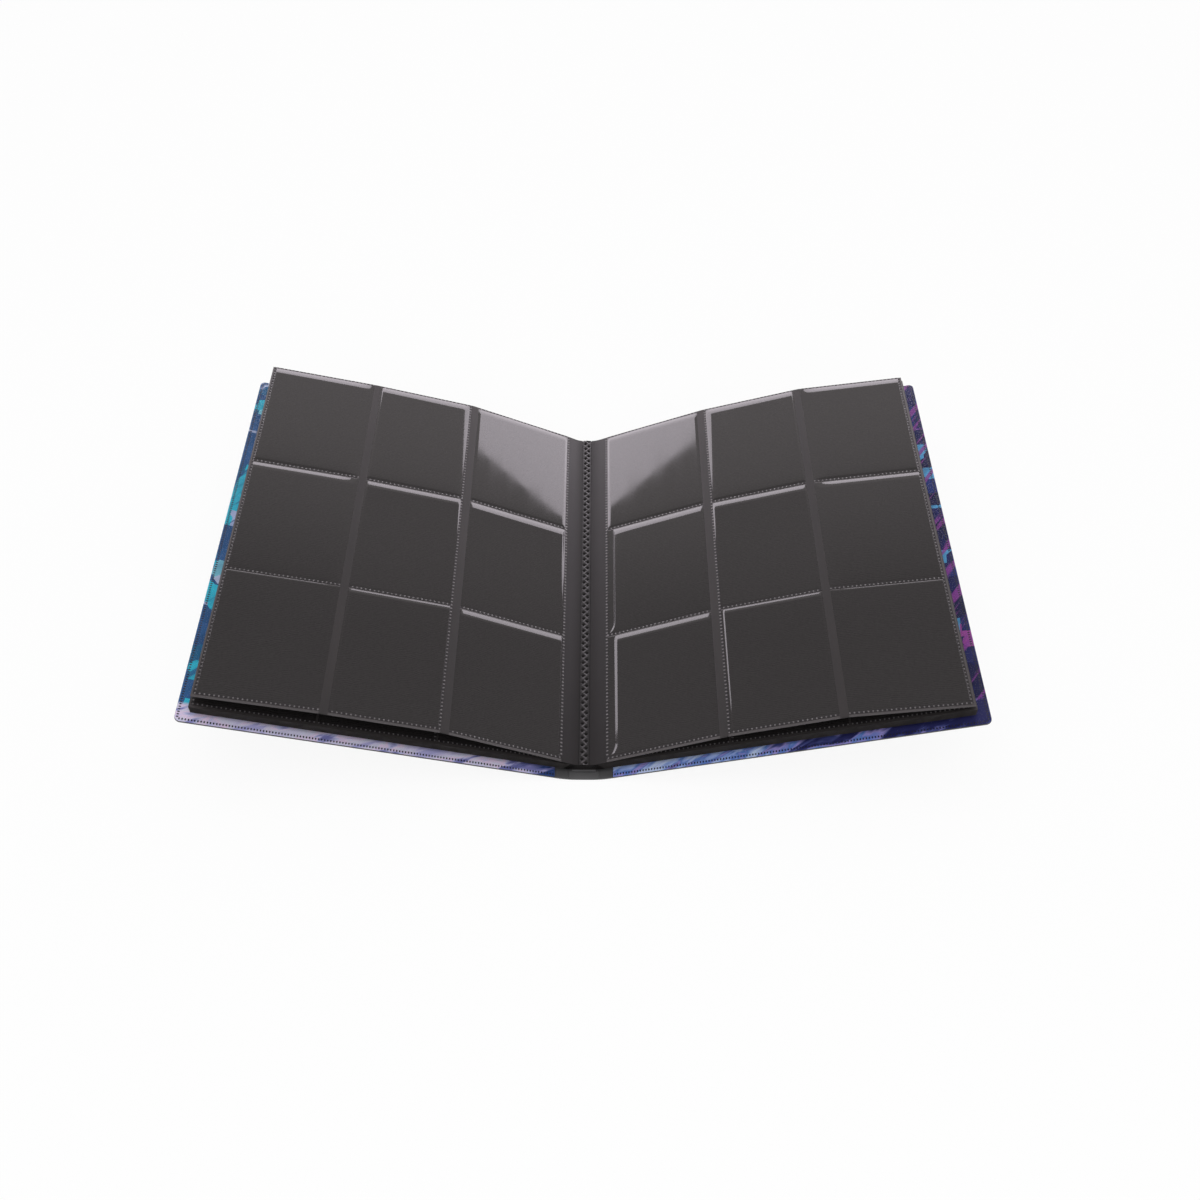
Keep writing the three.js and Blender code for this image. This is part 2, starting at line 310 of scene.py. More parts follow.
def satin_polypropylene():
    """Calendered polypropylene cover sheet: an even charcoal, whose fine matt grain spreads highlights.

    The grain is drawn 0.45 mm wide, as coarse as it needs to show."""
    made, tree, shader = new_material(
        "satin_polypropylene_sheet", **{"IOR": POLYPROPYLENE_IOR, "Specular IOR Level": 0.42})
    fine = grain(tree, 0.45 * MM, 3.0)
    tone = add_node(
        tree, "ShaderNodeValToRGB", {0: grain(tree, 22 * MM)}, [(0.3, "#444445"), (0.7, "#4b4b4c")])
    tree.links.new(tone.outputs[0], shader.inputs["Base Color"])
    rough = add_node(tree, "ShaderNodeMapRange", {0: fine, 1: 0.3, 2: 0.7, 3: 0.46, 4: 0.58})
    tree.links.new(rough.outputs[0], shader.inputs["Roughness"])
    dents = add_node(tree, "ShaderNodeBump", {"Height": fine, "Distance": 0.02 * MM, "Strength": 0.6})
    tree.links.new(dents.outputs[0], shader.inputs["Normal"])
    return made


def page_lines(tree, dark, light, cloud_tone):
    """Colour of the page sheet's fine lines, which run across the page, under a soft cloud.

    The lines are drawn 1.2 mm apart, as coarse as they need to show. A slow drift keeps them from being
    ruled, and a speck breaks them up."""
    lines_apart = 1.2 * MM
    most_drift = 3 * math.pi
    up = add_node(tree, "ShaderNodeSeparateXYZ", {0: object_place(tree)}).outputs["Y"]
    turns = add_node(tree, "ShaderNodeMath", {0: up, 1: 2 * math.pi / lines_apart}, operation="MULTIPLY")
    drift = add_node(tree, "ShaderNodeMapRange", {
        0: grain(tree, 8 * MM, 1.0), 1: 0.2, 2: 0.8, 3: 0.0, 4: most_drift})
    drifted = add_node(
        tree, "ShaderNodeMath", {0: turns.outputs[0], 1: drift.outputs[0]}, operation="ADD")
    wave = add_node(tree, "ShaderNodeMath", {0: drifted.outputs[0]}, operation="SINE")
    speck = add_node(tree, "ShaderNodeMapRange", {
        0: grain(tree, 1.6 * MM), 1: 0.3, 2: 0.7, 3: -0.6, 4: 0.6})
    level = add_node(tree, "ShaderNodeMath", {0: wave.outputs[0], 1: speck.outputs[0]}, operation="ADD")
    share = add_node(tree, "ShaderNodeMapRange", {0: level.outputs[0], 1: -1.6, 2: 1.6, 3: 0.0, 4: 1.0})
    lines = add_node(tree, "ShaderNodeValToRGB", {0: share.outputs[0]}, [(0.0, dark), (1.0, light)])
    cloud = add_node(tree, "ShaderNodeMapRange", {
        0: grain(tree, 11 * MM, stretch=(0.6, 1, 1)), 1: 0.35, 2: 0.65, 3: 0.0, 4: 0.3})
    return add_node(
        tree, "ShaderNodeMix", {0: cloud.outputs[0], 6: lines.outputs[0], 7: linear(cloud_tone)},
        data_type="RGBA").outputs[2]


def ribbed_backing():
    """Black polypropylene page sheet, drawn over a ribbed roller: fine dark lines across the page.

    The lines are low, so they show only as a faint change of tone."""
    made, tree, shader = new_material(
        "ribbed_page_polypropylene",
        **{"Roughness": 0.5, "IOR": POLYPROPYLENE_IOR, "Specular IOR Level": 0.4})
    tree.links.new(page_lines(tree, "#201d1d", "#343131", "#2a2727"), shader.inputs["Base Color"])
    return made


def smooth_page():
    """The same page sheet where it is left smooth: its gutter bands and folds have a dull, even sheen."""
    return mottled_polypropylene(
        "smooth_page_polypropylene", 0.45, 0.15, 14 * MM, [(0.3, "#110f0f"), (0.7, "#151313")], 2.0,
        (1, 0.25, 1))


def welded_strip():
    """Page sheet and films fused flat between two columns: smooth, and a little paler than bare sheet."""
    return mottled_polypropylene(
        "welded_strip_polypropylene", 0.45, 0.1, 14 * MM, [(0.3, "#2d2b2b"), (0.7, "#322f2f")], 2.0,
        (1, 0.25, 1))


def streaked_film(name, smoothest, roughest, **shader):
    """A film that mirrors, with a faint streak drawn along it in the making."""
    made, tree, principled = new_material(name, **{"IOR": FILM_IOR}, **shader)
    streak = add_node(tree, "ShaderNodeMapRange", {
        0: grain(tree, 9 * MM, stretch=(1, 0.2, 1)), 1: 0.3, 2: 0.7, 3: smoothest, 4: roughest})
    tree.links.new(streak.outputs[0], principled.inputs["Roughness"])
    return made, tree, principled


def cast_film():
    """Clear cast polypropylene film: cast on a polished roller, so it mirrors, with a faint drawn streak.

    It lies on the black page sheet, and through it the eye sees that sheet's tone and fine lines. They are
    this finish's own colour, so the film needs no transparency."""
    made, tree, shader = streaked_film(
        "cast_polypropylene_film", 0.04, 0.07, **{"Specular IOR Level": 0.3})
    tree.links.new(page_lines(tree, "#151313", "#2a2828", "#201e1e"), shader.inputs["Base Color"])
    return made


def cover_film():
    """Clear polypropylene cover film, drawn tight over the print and rubbed by use: a thin, soft shine."""
    return streaked_film(
        "rubbed_cover_film", 0.11, 0.14, **{"Base Color": linear("#404050"), "Alpha": 0.05})[0]


def frosted_weld():
    """Polypropylene film pressed down by a ribbed welding bar: milky grey dots, which catch the light."""
    return mottled_polypropylene(
        "frosted_film_weld", 0.35, 0.5, 1.4 * MM, [(0.35, "#454243"), (0.65, "#5b5859")])


def pressed_weld():
    """Film and page sheet melted together between the dots: no air is left, so it looks dull and dark."""
    return mottled_polypropylene(
        "pressed_film_weld", 0.5, 0.12, 3 * MM, [(0.3, "#1b191a"), (0.7, "#252324")])


def dark_weld():
    """Cover weld dots: polypropylene film fused down to the charcoal sheet, so it reads almost black."""
    return mottled_polypropylene(
        "fused_cover_weld", 0.4, 0.3, 1.1 * MM, [(0.35, "#0e0e18"), (0.65, "#1b1b2a")])


def seam_weld():
    """The seam's zigzag, polypropylene melted by the weld: painted shade in its pits, painted highlight on
    its ridge.
    """
    made, tree, shader = new_material(
        "melted_seam_with_painted_shade",
        **{"Roughness": 0.4, "IOR": POLYPROPYLENE_IOR, "Specular IOR Level": 0.2})
    height = add_node(tree, "ShaderNodeAttribute", attribute_name="weld_painted_shade_and_highlight").outputs["Fac"]
    speck = add_node(tree, "ShaderNodeMapRange", {
        0: grain(tree, 0.7 * MM), 1: 0.3, 2: 0.7, 3: -0.05, 4: 0.05})
    level = add_node(tree, "ShaderNodeMath", {0: height, 1: speck.outputs[0]}, operation="ADD")
    # Painted shade and highlight: near black in the pits, pale grey on the ridge, by the weld's height.
    tone = add_node(tree, "ShaderNodeValToRGB", {0: level.outputs[0]}, [
        (0.0, "#020202"), (0.3, "#060606"), (0.5, "#141313"), (1.0, "#2e2c2d")])
    tree.links.new(tone.outputs[0], shader.inputs["Base Color"])
    return made


def printed_sheet(name, blocks, shade, ray, flow, change, dark_from, dark_to, seed):
    """Offset-printed art paper with a light satin coat, and a generic pattern of soft blocks and streaks.

    Blocks is the palette of the upper part, shade what it is clouded with, ray the colour of the thin rays
    across it, and flow the palette of the streaks below the place of change. The streaks run to the end of
    their palette from one distance off the spine to another."""
    made, tree, shader = new_material(
        name, **{"Roughness": 0.38, "IOR": PAPER_IOR, "Specular IOR Level": 0.1})
    block_size = 12 * MM
    streak_long, streak_wide = 30 * MM, 9 * MM
    ray_long, ray_wide = 70 * MM, 5 * MM
    block_tilt, streak_tilt, ray_tilt = math.radians(6), math.radians(-28), math.radians(-52)
    soft_edge = 3 * MM
    axes = add_node(tree, "ShaderNodeSeparateXYZ", {0: object_place(tree)})

    place = object_place(tree, (1 / block_size, 1 / block_size, 0), block_tilt, (seed, 0, 0))
    cells = add_node(tree, "ShaderNodeTexVoronoi", {
        "Vector": place, "Scale": 1.0, "Randomness": 0.85}, distance="CHEBYCHEV")
    pick_one = add_node(tree, "ShaderNodeSeparateColor", {0: cells.outputs["Color"]})
    tiles = add_node(tree, "ShaderNodeValToRGB", {0: pick_one.outputs[0]}, blocks)
    tiles.color_ramp.interpolation = "CONSTANT"

    place = object_place(tree, (1 / streak_long, 1 / streak_wide, 0), streak_tilt, (0, seed, 0))
    streaks = add_node(tree, "ShaderNodeTexNoise", {
        "Vector": place, "Scale": 1.0, "Detail": 3.0, "Distortion": 0.7}).outputs[0]
    out = add_node(tree, "ShaderNodeMath", {0: axes.outputs["X"]}, operation="ABSOLUTE")
    shift = add_node(tree, "ShaderNodeMapRange", {
        0: out.outputs[0], 1: dark_from, 2: dark_to, 3: 0.0, 4: 0.65}, interpolation_type="SMOOTHSTEP")
    spread = add_node(tree, "ShaderNodeMapRange", {0: streaks, 1: 0.36, 2: 0.64, 3: 0.0, 4: 0.7})
    moved = add_node(tree, "ShaderNodeMath", {0: spread.outputs[0], 1: shift.outputs[0]}, operation="ADD")
    bands = add_node(tree, "ShaderNodeValToRGB", {0: moved.outputs[0]}, flow)

    clouded = add_node(tree, "ShaderNodeMapRange", {0: streaks, 1: 0.4, 2: 0.65, 3: 0.0, 4: 0.35})
    shaded = add_node(
        tree, "ShaderNodeMix", {0: clouded.outputs[0], 6: tiles.outputs[0], 7: linear(shade)},
        data_type="RGBA")
    place = object_place(tree, (1 / ray_long, 1 / ray_wide, 0), ray_tilt, (seed, 0, 0))
    rays = add_node(tree, "ShaderNodeTexNoise", {"Vector": place, "Scale": 1.0, "Detail": 2.0})
    crossing = add_node(tree, "ShaderNodeMapRange", {
        0: rays.outputs[0], 1: 0.55, 2: 0.62, 3: 0.0, 4: 0.85}, interpolation_type="SMOOTHSTEP")
    crossed = add_node(
        tree, "ShaderNodeMix", {0: crossing.outputs[0], 6: shaded.outputs[2], 7: linear(ray)},
        data_type="RGBA")

    down = add_node(tree, "ShaderNodeMapRange", {
        0: axes.outputs["Y"], 1: change, 2: change - soft_edge, 3: 0.0, 4: 1.0},
        interpolation_type="SMOOTHSTEP")
    art = add_node(
        tree, "ShaderNodeMix", {0: down.outputs[0], 6: crossed.outputs[2], 7: bands.outputs[0]},
        data_type="RGBA")
    tree.links.new(art.outputs[2], shader.inputs["Base Color"])
    return made


def left_print():
    """Left print: teal blues, cyan and pale lavender above, lavender with violet streaks along the foot."""
    blocks = [(0.0, "#2a5688"), (0.18, "#c8d2f0"), (0.32, "#35c8e4"), (0.42, "#256a92"), (0.6, "#b6c2ea"),
              (0.72, "#34639a"), (0.88, "#86d2e6"), (0.95, "#2a5688")]
    flow = [(0.0, "#b4b2e2"), (0.14, "#d8d2f2"), (0.3, "#dcdcf2"), (0.42, "#ecd6f2"), (0.52, "#c8caee"),
            (0.64, "#8a88c4"), (0.84, "#2f4880")]
    return printed_sheet(
        "left_printed_art_paper", blocks, "#2c568c", "#2f5f94", flow, -129 * MM, 44 * MM, 16 * MM, 3.7)


def right_print():
    """Right print: navy, royal blue and violet above, periwinkle near the spine and navy further out."""
    blocks = [(0.0, "#1b2056"), (0.2, "#24367c"), (0.34, "#6a3c92"), (0.42, "#1a1c46"), (0.62, "#5aa8dc"),
              (0.67, "#22265e"), (0.86, "#a04c9c"), (0.91, "#1f2862")]
    flow = [(0.0, "#bac6f6"), (0.2, "#cfe0fc"), (0.36, "#a4baf0"), (0.5, "#5c80cc"), (0.62, "#a49ade"),
            (0.74, "#48508c"), (0.9, "#26285a")]
    return printed_sheet(
        "right_printed_art_paper", blocks, "#14153a", "#8a3f96", flow, -124 * MM, 90 * MM, 190 * MM, 8.2)


def studio_floor(colour):
    """Painted studio floor: pale and matt.

    It is lit from within for the eye and for mirrors, so that it runs into the white surroundings and keeps
    only a soft shadow."""
    glow_share = 0.9
    made, tree, shader = new_material(
        "matt_floor_paint", **{"Base Color": (*colour, 1), "Roughness": 0.9, "Specular IOR Level": 0.1})
    dents = add_node(tree, "ShaderNodeBump", {
        "Height": grain(tree, 4 * MM), "Distance": 0.02 * MM, "Strength": 0.2})
    tree.links.new(dents.outputs[0], shader.inputs["Normal"])
    path = add_node(tree, "ShaderNodeLightPath").outputs
    seen = add_node(tree, "ShaderNodeMath", {
        0: path["Is Camera Ray"], 1: path["Is Glossy Ray"]}, operation="MAXIMUM")
    seen = add_node(tree, "ShaderNodeMath", {
        0: seen.outputs[0], 1: path["Is Transmission Ray"]}, operation="MAXIMUM")
    share = add_node(tree, "ShaderNodeMapRange", {
        0: seen.outputs[0], 1: 0.0, 2: 1.0, 3: 0.0, 4: glow_share})
    glow = add_node(tree, "ShaderNodeEmission", {"Color": linear("#ffffff"), "Strength": 1.0})
    both = add_node(tree, "ShaderNodeMixShader", {
        0: share.outputs[0], 1: shader.outputs[0], 2: glow.outputs[0]})
    output = next(one for one in tree.nodes if one.type == "OUTPUT_MATERIAL")
    tree.links.new(both.outputs[0], output.inputs["Surface"])
    return made


# Each finish: the function that makes it, and the record slot of the pieces that have it.
FINISHES = {
    "cover": (satin_polypropylene, "cover_sheet"),
    "backing": (ribbed_backing, "leaf_backing"),
    "page": (smooth_page, "leaf_backing"),
    "strip": (welded_strip, "leaf_backing"),
    "seam": (seam_weld, "leaf_backing"),
    "film": (cast_film, "clear_film"),
    "cover_film": (cover_film, "clear_film"),
    "weld": (frosted_weld, "clear_film"),
    "pressed": (pressed_weld, "clear_film"),
    "dark_weld": (dark_weld, "clear_film"),
    "left_print": (left_print, "left_print"),
    "right_print": (right_print, "right_print"),
}
made_finishes = {}


def finish_of(name):
    """The material of a finish, made when it is first asked for."""
    if name not in made_finishes:
        made_finishes[name] = FINISHES[name][0]()
    return made_finishes[name]


# Modelling.

def deselect():
    """Nothing is selected, so that the next operator acts on its own piece only."""
    bpy.ops.object.select_all(action="DESELECT")


def pick(*objects):
    """Selects these objects, the last one active."""
    deselect()
    for one in objects:
        one.select_set(True)
        bpy.context.view_layer.objects.active = one


def settle(piece, place, turn=0.0):
    """Turns a piece about Y, moves it, and applies both, so that its object stays at the origin."""
    pick(piece)
    piece.rotation_euler = (0, turn, 0)
    piece.location = place
    bpy.ops.object.transform_apply(location=True, rotation=True, scale=True)


def plate(name, low, high):
    """A box between two corners, added at its size and place."""
    deselect()
    middle = (Vector(low) + Vector(high)) / 2
    bpy.ops.mesh.primitive_cube_add(size=1, location=middle)
    piece = bpy.context.object
    piece.name = name
    piece.scale = Vector(high) - Vector(low)
    bpy.ops.object.transform_apply(location=True, rotation=True, scale=True)
    return piece


def lattice(name, across, along):
    """A grid whose lines run at the given distances across and along."""
    deselect()
    bpy.ops.mesh.primitive_grid_add(
        x_subdivisions=len(across) - 1, y_subdivisions=len(along) - 1, size=1, location=(0, 0, 0))
    piece = bpy.context.object
    piece.name = name
    spots = points_of(piece)
    columns = np.rint((spots[:, 0] + 0.5) * (len(across) - 1)).astype(int)
    rows = np.rint((spots[:, 1] + 0.5) * (len(along) - 1)).astype(int)
    spots[:, 0] = np.asarray(across)[columns]
    spots[:, 1] = np.asarray(along)[rows]
    move_points(piece, spots)
    return piece


def points_of(piece):
    """A piece's vertices as rows of numbers."""
    spots = np.zeros(len(piece.data.vertices) * 3)
    piece.data.vertices.foreach_get("co", spots)
    return spots.reshape(-1, 3)


def move_points(piece, spots):
    """Moves a piece's vertices."""
    piece.data.vertices.foreach_set("co", np.ascontiguousarray(spots).ravel())
    piece.data.update()


def apply_modifier(piece, kind, **settings):
    """Adds a modifier with its settings and applies it."""
    pick(piece)
    modifier = piece.modifiers.new(kind.lower(), kind)
    for key, value in settings.items():
        setattr(modifier, key, value)
    bpy.ops.object.modifier_apply(modifier=modifier.name)


def face_out(piece):
    """Makes every face of a closed piece point outwards."""
    pick(piece)
    bpy.ops.object.mode_set(mode="EDIT")
    bpy.ops.mesh.select_all(action="SELECT")
    bpy.ops.mesh.normals_make_consistent(inside=False)
    bpy.ops.object.mode_set(mode="OBJECT")


def smooth(piece, angle=40):
    """Smooth shading, with edges sharper than an angle kept."""
    pick(piece)
    bpy.ops.object.shade_smooth_by_angle(angle=math.radians(angle))


def round_corners(piece, edge, radius, segments):
    """Bevels the upright edges that stand at a piece's outer edge."""
    pick(piece)
    bpy.ops.object.mode_set(mode="EDIT")
    bpy.ops.mesh.select_mode(type="EDGE")
    bpy.ops.mesh.select_all(action="DESELECT")
    bpy.ops.object.mode_set(mode="OBJECT")
    mesh = piece.data
    for line in mesh.edges:
        first, second = (mesh.vertices[i].co for i in line.vertices)
        at_edge = abs(first.x - edge) < NEARLY and abs(second.x - edge) < NEARLY
        upright = abs(first.y - second.y) < NEARLY and abs(first.z - second.z) > NEARLY
        line.select = at_edge and upright
    bpy.ops.object.mode_set(mode="EDIT")
    bpy.ops.mesh.bevel(offset=radius, segments=segments, profile=0.5, affect="EDGES")
    bpy.ops.object.mode_set(mode="OBJECT")


def join(pieces, name):
    """Joins several pieces into one, under a name."""
    pick(*pieces)
    bpy.ops.object.join()
    piece = bpy.context.view_layer.objects.active
    piece.name = name
    return piece


def lay_finish(piece, finish):
    """Makes a finish the only material of a piece."""
    piece.data.materials.clear()
    piece.data.materials.append(finish_of(finish))


def dress(piece, finish):
    """Gives a piece its finish."""
    lay_finish(piece, finish)


def mirrored(piece, across, face=1):
    """Flips a piece to the left side, to the back of its leaf, or to neither."""
    spots = points_of(piece)
    spots *= (across, 1, face)
    move_points(piece, spots)


def spaced(start, stop, count):
    """Evenly spaced distances from start to stop."""
    return list(np.linspace(start, stop, count))


def bent_over(distance, rise):
    """Smooth climb from 0 at a weld to 1 past the rise."""
    share = np.clip(distance / rise, 0, 1)
    return share * share * (3 - 2 * share)


# Pockets.

# Films that have taken a crease beside their near weld: its distance from the weld, the width of its flank,
# and the power with which the film fills out above its foot.
CREASED = {
    ("right", "inner", 1): (3.6 * MM, 2.1 * MM, 0.12),
    ("right", "inner", 2): (3.6 * MM, 0.8 * MM, 0.3),
    ("right", "middle", 1): (1.2 * MM, 1.0 * MM, 0.23),
}
# Share of its height that a creased film climbs on the flank, and how many flanks wide its whole climb is.
CREASE_FLANK = 0.7
CREASE_SPREAD = 6
# How wide a film's lip is in the bottom row, as a share of the others.
BOTTOM_LIP = {"inner": 1.0, "middle": 0.6, "outer": 0.2}
# How full a film is just above its foot, and the most of its crown that its lip may sink.
FOOT_FULLNESS = 0.08
MOST_SINK = 0.86
# Width of the weld at a leaf's outer edge, as a share of the others.
OUTER_WELD_SHARE = 0.65
# Grid lines of a film stay this far from the next stretch of closer lines.
GRID_GUARD = 0.25 * MM
FilmLie = namedtuple("FilmLie", "creased, width, offset, fullness, arch, far_rise, lip")


def climb(distance, width):
    """Climb from 0 to 1 that starts at its steepest and ends level."""
    share = np.clip(distance / width, 0, 1)
    return 1 - (1 - share) ** 2


def film_lie(side, column, row, sizes):
    """How a front film lies: its climb from the near weld and how full it is.

    Fullness is a power: a small one is full at once above the foot, a large one only at the mouth."""
    lip = sizes.lip_width * (BOTTOM_LIP[column] if row == BOTTOM_ROW else 1)
    plain = FilmLie(False, sizes.film_rise, 0.0, sizes.late_fullness, 0.0, sizes.film_rise, lip)
    full = plain._replace(fullness=sizes.early_fullness)
    if (side, column, row) in CREASED:
        offset, width, fullness = CREASED[side, column, row]
        return full._replace(creased=True, width=width, offset=offset, fullness=fullness)
    if column == "outer":
        return full._replace(width=sizes.wide_rise, far_rise=sizes.tight_rise)
    if row == BOTTOM_ROW:
        return full._replace(width=sizes.tight_rise)
    if row < TOP_ROW:
        return plain
    if column == "middle":
        return full._replace(width=sizes.middle_rise)
    return full._replace(arch=sizes.film_arch)


def back_lie(sizes):
    """How a film between two leaves lies: it fills out evenly from the foot to the mouth."""
    return FilmLie(False, sizes.film_rise, 0.0, 1.0, 0.0, sizes.film_rise, sizes.lip_width)


def film_lines(near, far, low, high, lie, far_weld, sizes):
    """Grid lines of a film: close together where it climbs from a weld or sinks to its mouth."""
    weld, lip = sizes.weld_width, lie.lip
    first, last = near + weld, far - far_weld
    crown = first + lie.offset + lie.width
    crown_end = last - lie.far_rise
    across = [near] + spaced(first, crown, 9 + int(lie.offset / GRID_GUARD))
    across += spaced(crown + GRID_GUARD, crown_end - GRID_GUARD, 9) + spaced(crown_end, last, 8) + [far]
    foot = low + weld + sizes.film_rise
    hook = foot + sizes.hook_height
    along = [low] + spaced(low + weld, foot, 7) + spaced(foot + GRID_GUARD, hook, 10)
    along += spaced(hook, high - lip - GRID_GUARD, 9)[1:] + spaced(high - lip, high, 11)
    return across, along


def pocket_film(name, sign, near, far, low, high, level, crown, face, lie, far_weld, sizes):
    """One pocket's film: welded flat at its sides and foot, crowned, and drooping at its open mouth.

    It is made flat on the page, from one distance to another out from its pivot."""
    across, along = film_lines(near, far, low, high, lie, far_weld, sizes)
    piece = lattice(name, across, along)
    spots = points_of(piece)
    out, up = spots[:, 0], spots[:, 1]
    weld, lip = sizes.weld_width, lie.lip
    first, last = near + weld, far - far_weld
    from_foot = up - low - weld
    past_near = out - first - lie.offset * climb(from_foot, sizes.hook_height)
    near_side = climb(past_near, lie.width)
    if lie.creased:
        flank = np.clip(past_near / lie.width, 0, 1)
        near_side = CREASE_FLANK * flank + (1 - CREASE_FLANK) * climb(past_near, CREASE_SPREAD * lie.width)
    lift = near_side * bent_over(last - out, lie.far_rise) * bent_over(from_foot, sizes.film_rise)
    filled = np.clip(from_foot / (high - lip - low - weld), 0, 1) ** lie.fullness
    fullness = FOOT_FULLNESS + (1 - FOOT_FULLNESS) * filled
    share = np.clip((out - first) / (last - first), 0, 1)
    arch = lie.arch * (4 * share * (1 - share) - 1)
    sink = np.clip(up - (high - lip), 0, None) ** 2 / (2 * lip) * sizes.lip_angle
    height = lift * ((crown + arch) * fullness - np.minimum(sink, crown * MOST_SINK))
    spots[:, 2] = face * (level + np.maximum(height, 0) + sizes.film_thickness / 2)
    spots[:, 0] = sign * out
    move_points(piece, spots)
    apply_modifier(piece, "SOLIDIFY", thickness=sizes.film_thickness, offset=0, use_even_offset=False)
    face_out(piece)
    return piece


def round_blank(name, corners):
    """A flat round blank, one unit across, left selected in edit mode."""
    deselect()
    bpy.ops.mesh.primitive_circle_add(vertices=corners, radius=0.5, fill_type="NGON", location=(0, 0, 0))
    piece = bpy.context.object
    piece.name = name
    bpy.ops.object.mode_set(mode="EDIT")
    bpy.ops.mesh.select_all(action="SELECT")
    return piece


def weld_dot(name, across, along, level, face):
    """One weld dot: a low eight-sided button with a pressed crown, closed underneath."""
    shoulder, crown = 0.042 * MM, 0.028 * MM
    crown_share = 0.6
    piece = round_blank(name, 8)
    bpy.ops.mesh.extrude_region_move(TRANSFORM_OT_translate={"value": (0, 0, shoulder)})
    bpy.ops.mesh.extrude_region_move(TRANSFORM_OT_translate={"value": (0, 0, crown)})
    bpy.ops.transform.resize(value=(crown_share, crown_share, 1))
    bpy.ops.object.mode_set(mode="OBJECT")
    spots = points_of(piece)
    spots *= (across, along, face)
    spots[:, 2] += face * level
    move_points(piece, spots)
    face_out(piece)
    return piece


def dot_line(name, first, last, pitch, dot):
    """Weld dots from one place to another, a pitch apart: copies of the dot that a given function makes."""
    piece = dot(name)
    run = Vector(last) - Vector(first)
    count = max(2, int(round(run.length / pitch)) + 1)
    step = run / (count - 1)
    settle(piece, first)
    apply_modifier(
        piece, "ARRAY", count=count, use_relative_offset=False, use_constant_offset=True,
        constant_offset_displace=step)
    return piece


def column_dots(name, sign, column, near, far, level, face, sizes):
    """The welds of one column of pockets: dots along each foot, the top edge and the column's own line.

    The dots stand on the dark bands that the welding bar leaves."""
    long, short, pitch = sizes.weld_dot_long, sizes.weld_dot_short, sizes.weld_pitch
    half = sizes.weld_width / 2
    # The inner column's own line stands a little beyond the films, on the gutter band's edge.
    gutter_shift = 0.2 * MM
    # Dots along a foot are shorter than those of the column's own line, whose dark band is wider.
    row_dot, upright_half = 0.8 * long, 1.4 * half
    upright_dot = short if column == "outer" else long
    thickness = 0.02 * MM
    under, over = level, level + thickness
    upright = {
        "inner": near - gutter_shift, "middle": near + half, "outer": far - OUTER_WELD_SHARE * half}[column]
    rows = [pocket_heights(row)[0] + half for row in ROWS]
    rows.append(PAGE_TOP - half)
    bands, lines = [], []
    for number, up in enumerate(rows):
        lines.append(dot_line(
            f"{name}_row_{number}", (sign * (near + half), up, 0), (sign * (far - half), up, 0), pitch,
            lambda title: weld_dot(title, short, row_dot, level, face)))
        bands.append(plate(f"{name}_band_{number}", (near, up - half, under), (far, up + half, over)))
    first, last = rows[0], rows[-1]
    lines.append(dot_line(
        f"{name}_upright", (sign * upright, first + pitch, 0), (sign * upright, last - pitch, 0), pitch,
        lambda title: weld_dot(title, upright_dot, short, level, face)))
    near_edge, far_edge = upright - upright_half, upright + upright_half
    bands.append(plate(f"{name}_band_upright", (near_edge, first, under), (far_edge, last, over)))
    for one in bands:
        mirrored(one, sign, face)
        face_out(one)
        dress(one, "pressed")
    for one in lines:
        dress(one, "weld")
    return join(bands + lines, name)


def far_weld_of(column, sizes):
    """Width of a column's weld on its far side: a plain band, or a narrow one at the leaf's outer edge."""
    return OUTER_WELD_SHARE * sizes.weld_width if column == "outer" else sizes.far_weld_width


def pocket_heights(row):
    """The foot and the mouth of a row of pockets."""
    low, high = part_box(f"left_top_leaf_film_inner_row_{row}")
    return low.y, high.y


def add_front_pockets(side, sizes):
    """Front films and weld dots of a side's top leaf, each on its own column."""
    sign = SIDES[side]
    level = TOP_BACKING / 2 + SHEET_GAP
    for column in COLUMNS:
        place, slope, width = TOP_LEAF[side][column]
        near, far = COLUMN_WELD_GAP, width - COLUMN_WELD_GAP
        for row in ROWS:
            low, high = pocket_heights(row)
            node = f"{side}_top_leaf_film_{column}_row_{row}"
            piece = pocket_film(
                f"{node}_sheet", sign, near, far, low, high, level, sizes.film_crown, 1,
                film_lie(side, column, row, sizes), far_weld_of(column, sizes), sizes)
            settle(piece, place, -sign * slope)
            smooth(piece, 50)
            dress(piece, "film")
            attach(piece, f"{side}_top_leaf_{column}")
            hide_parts(node)
        dots = column_dots(
            f"{side}_top_leaf_weld_dots_{column}", sign, column, near, far,
            level + sizes.film_thickness, 1, sizes)
        settle(dots, place, -sign * slope)
        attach(dots, f"{side}_top_leaf_{column}")


def joined_films(name, sign, column, near, far, level, face, sizes):
    """The three films of a column that lies between two leaves, joined."""
    films = []
    for row in ROWS:
        low, high = pocket_heights(row)
        films.append(pocket_film(
            f"{name}_row_{row}", sign, near, far, low, high, level, sizes.back_crown, face,
            back_lie(sizes), far_weld_of(column, sizes), sizes))
    return join(films, name)


def add_back_pockets(side, sizes):
    """Films and weld dots on the back of a side's top leaf."""
    sign = SIDES[side]
    level = TOP_BACKING / 2 + SHEET_GAP
    for column in COLUMNS:
        place, slope, width = TOP_LEAF[side][column]
        near, far = COLUMN_WELD_GAP, width - COLUMN_WELD_GAP
        piece = joined_films(
            f"{side}_top_leaf_back_sheet_{column}", sign, column, near, far, level, -1, sizes)
        settle(piece, place, -sign * slope)
        smooth(piece, 50)
        dress(piece, "film")
        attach(piece, f"{side}_top_leaf_{column}")
        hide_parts(f"{side}_top_leaf_back_film_{column}")
        dots = column_dots(
            f"{side}_top_leaf_back_dots_{column}", sign, column, near, far,
            level + sizes.film_thickness, -1, sizes)
        settle(dots, place, -sign * slope)
        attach(dots, f"{side}_top_leaf_{column}")


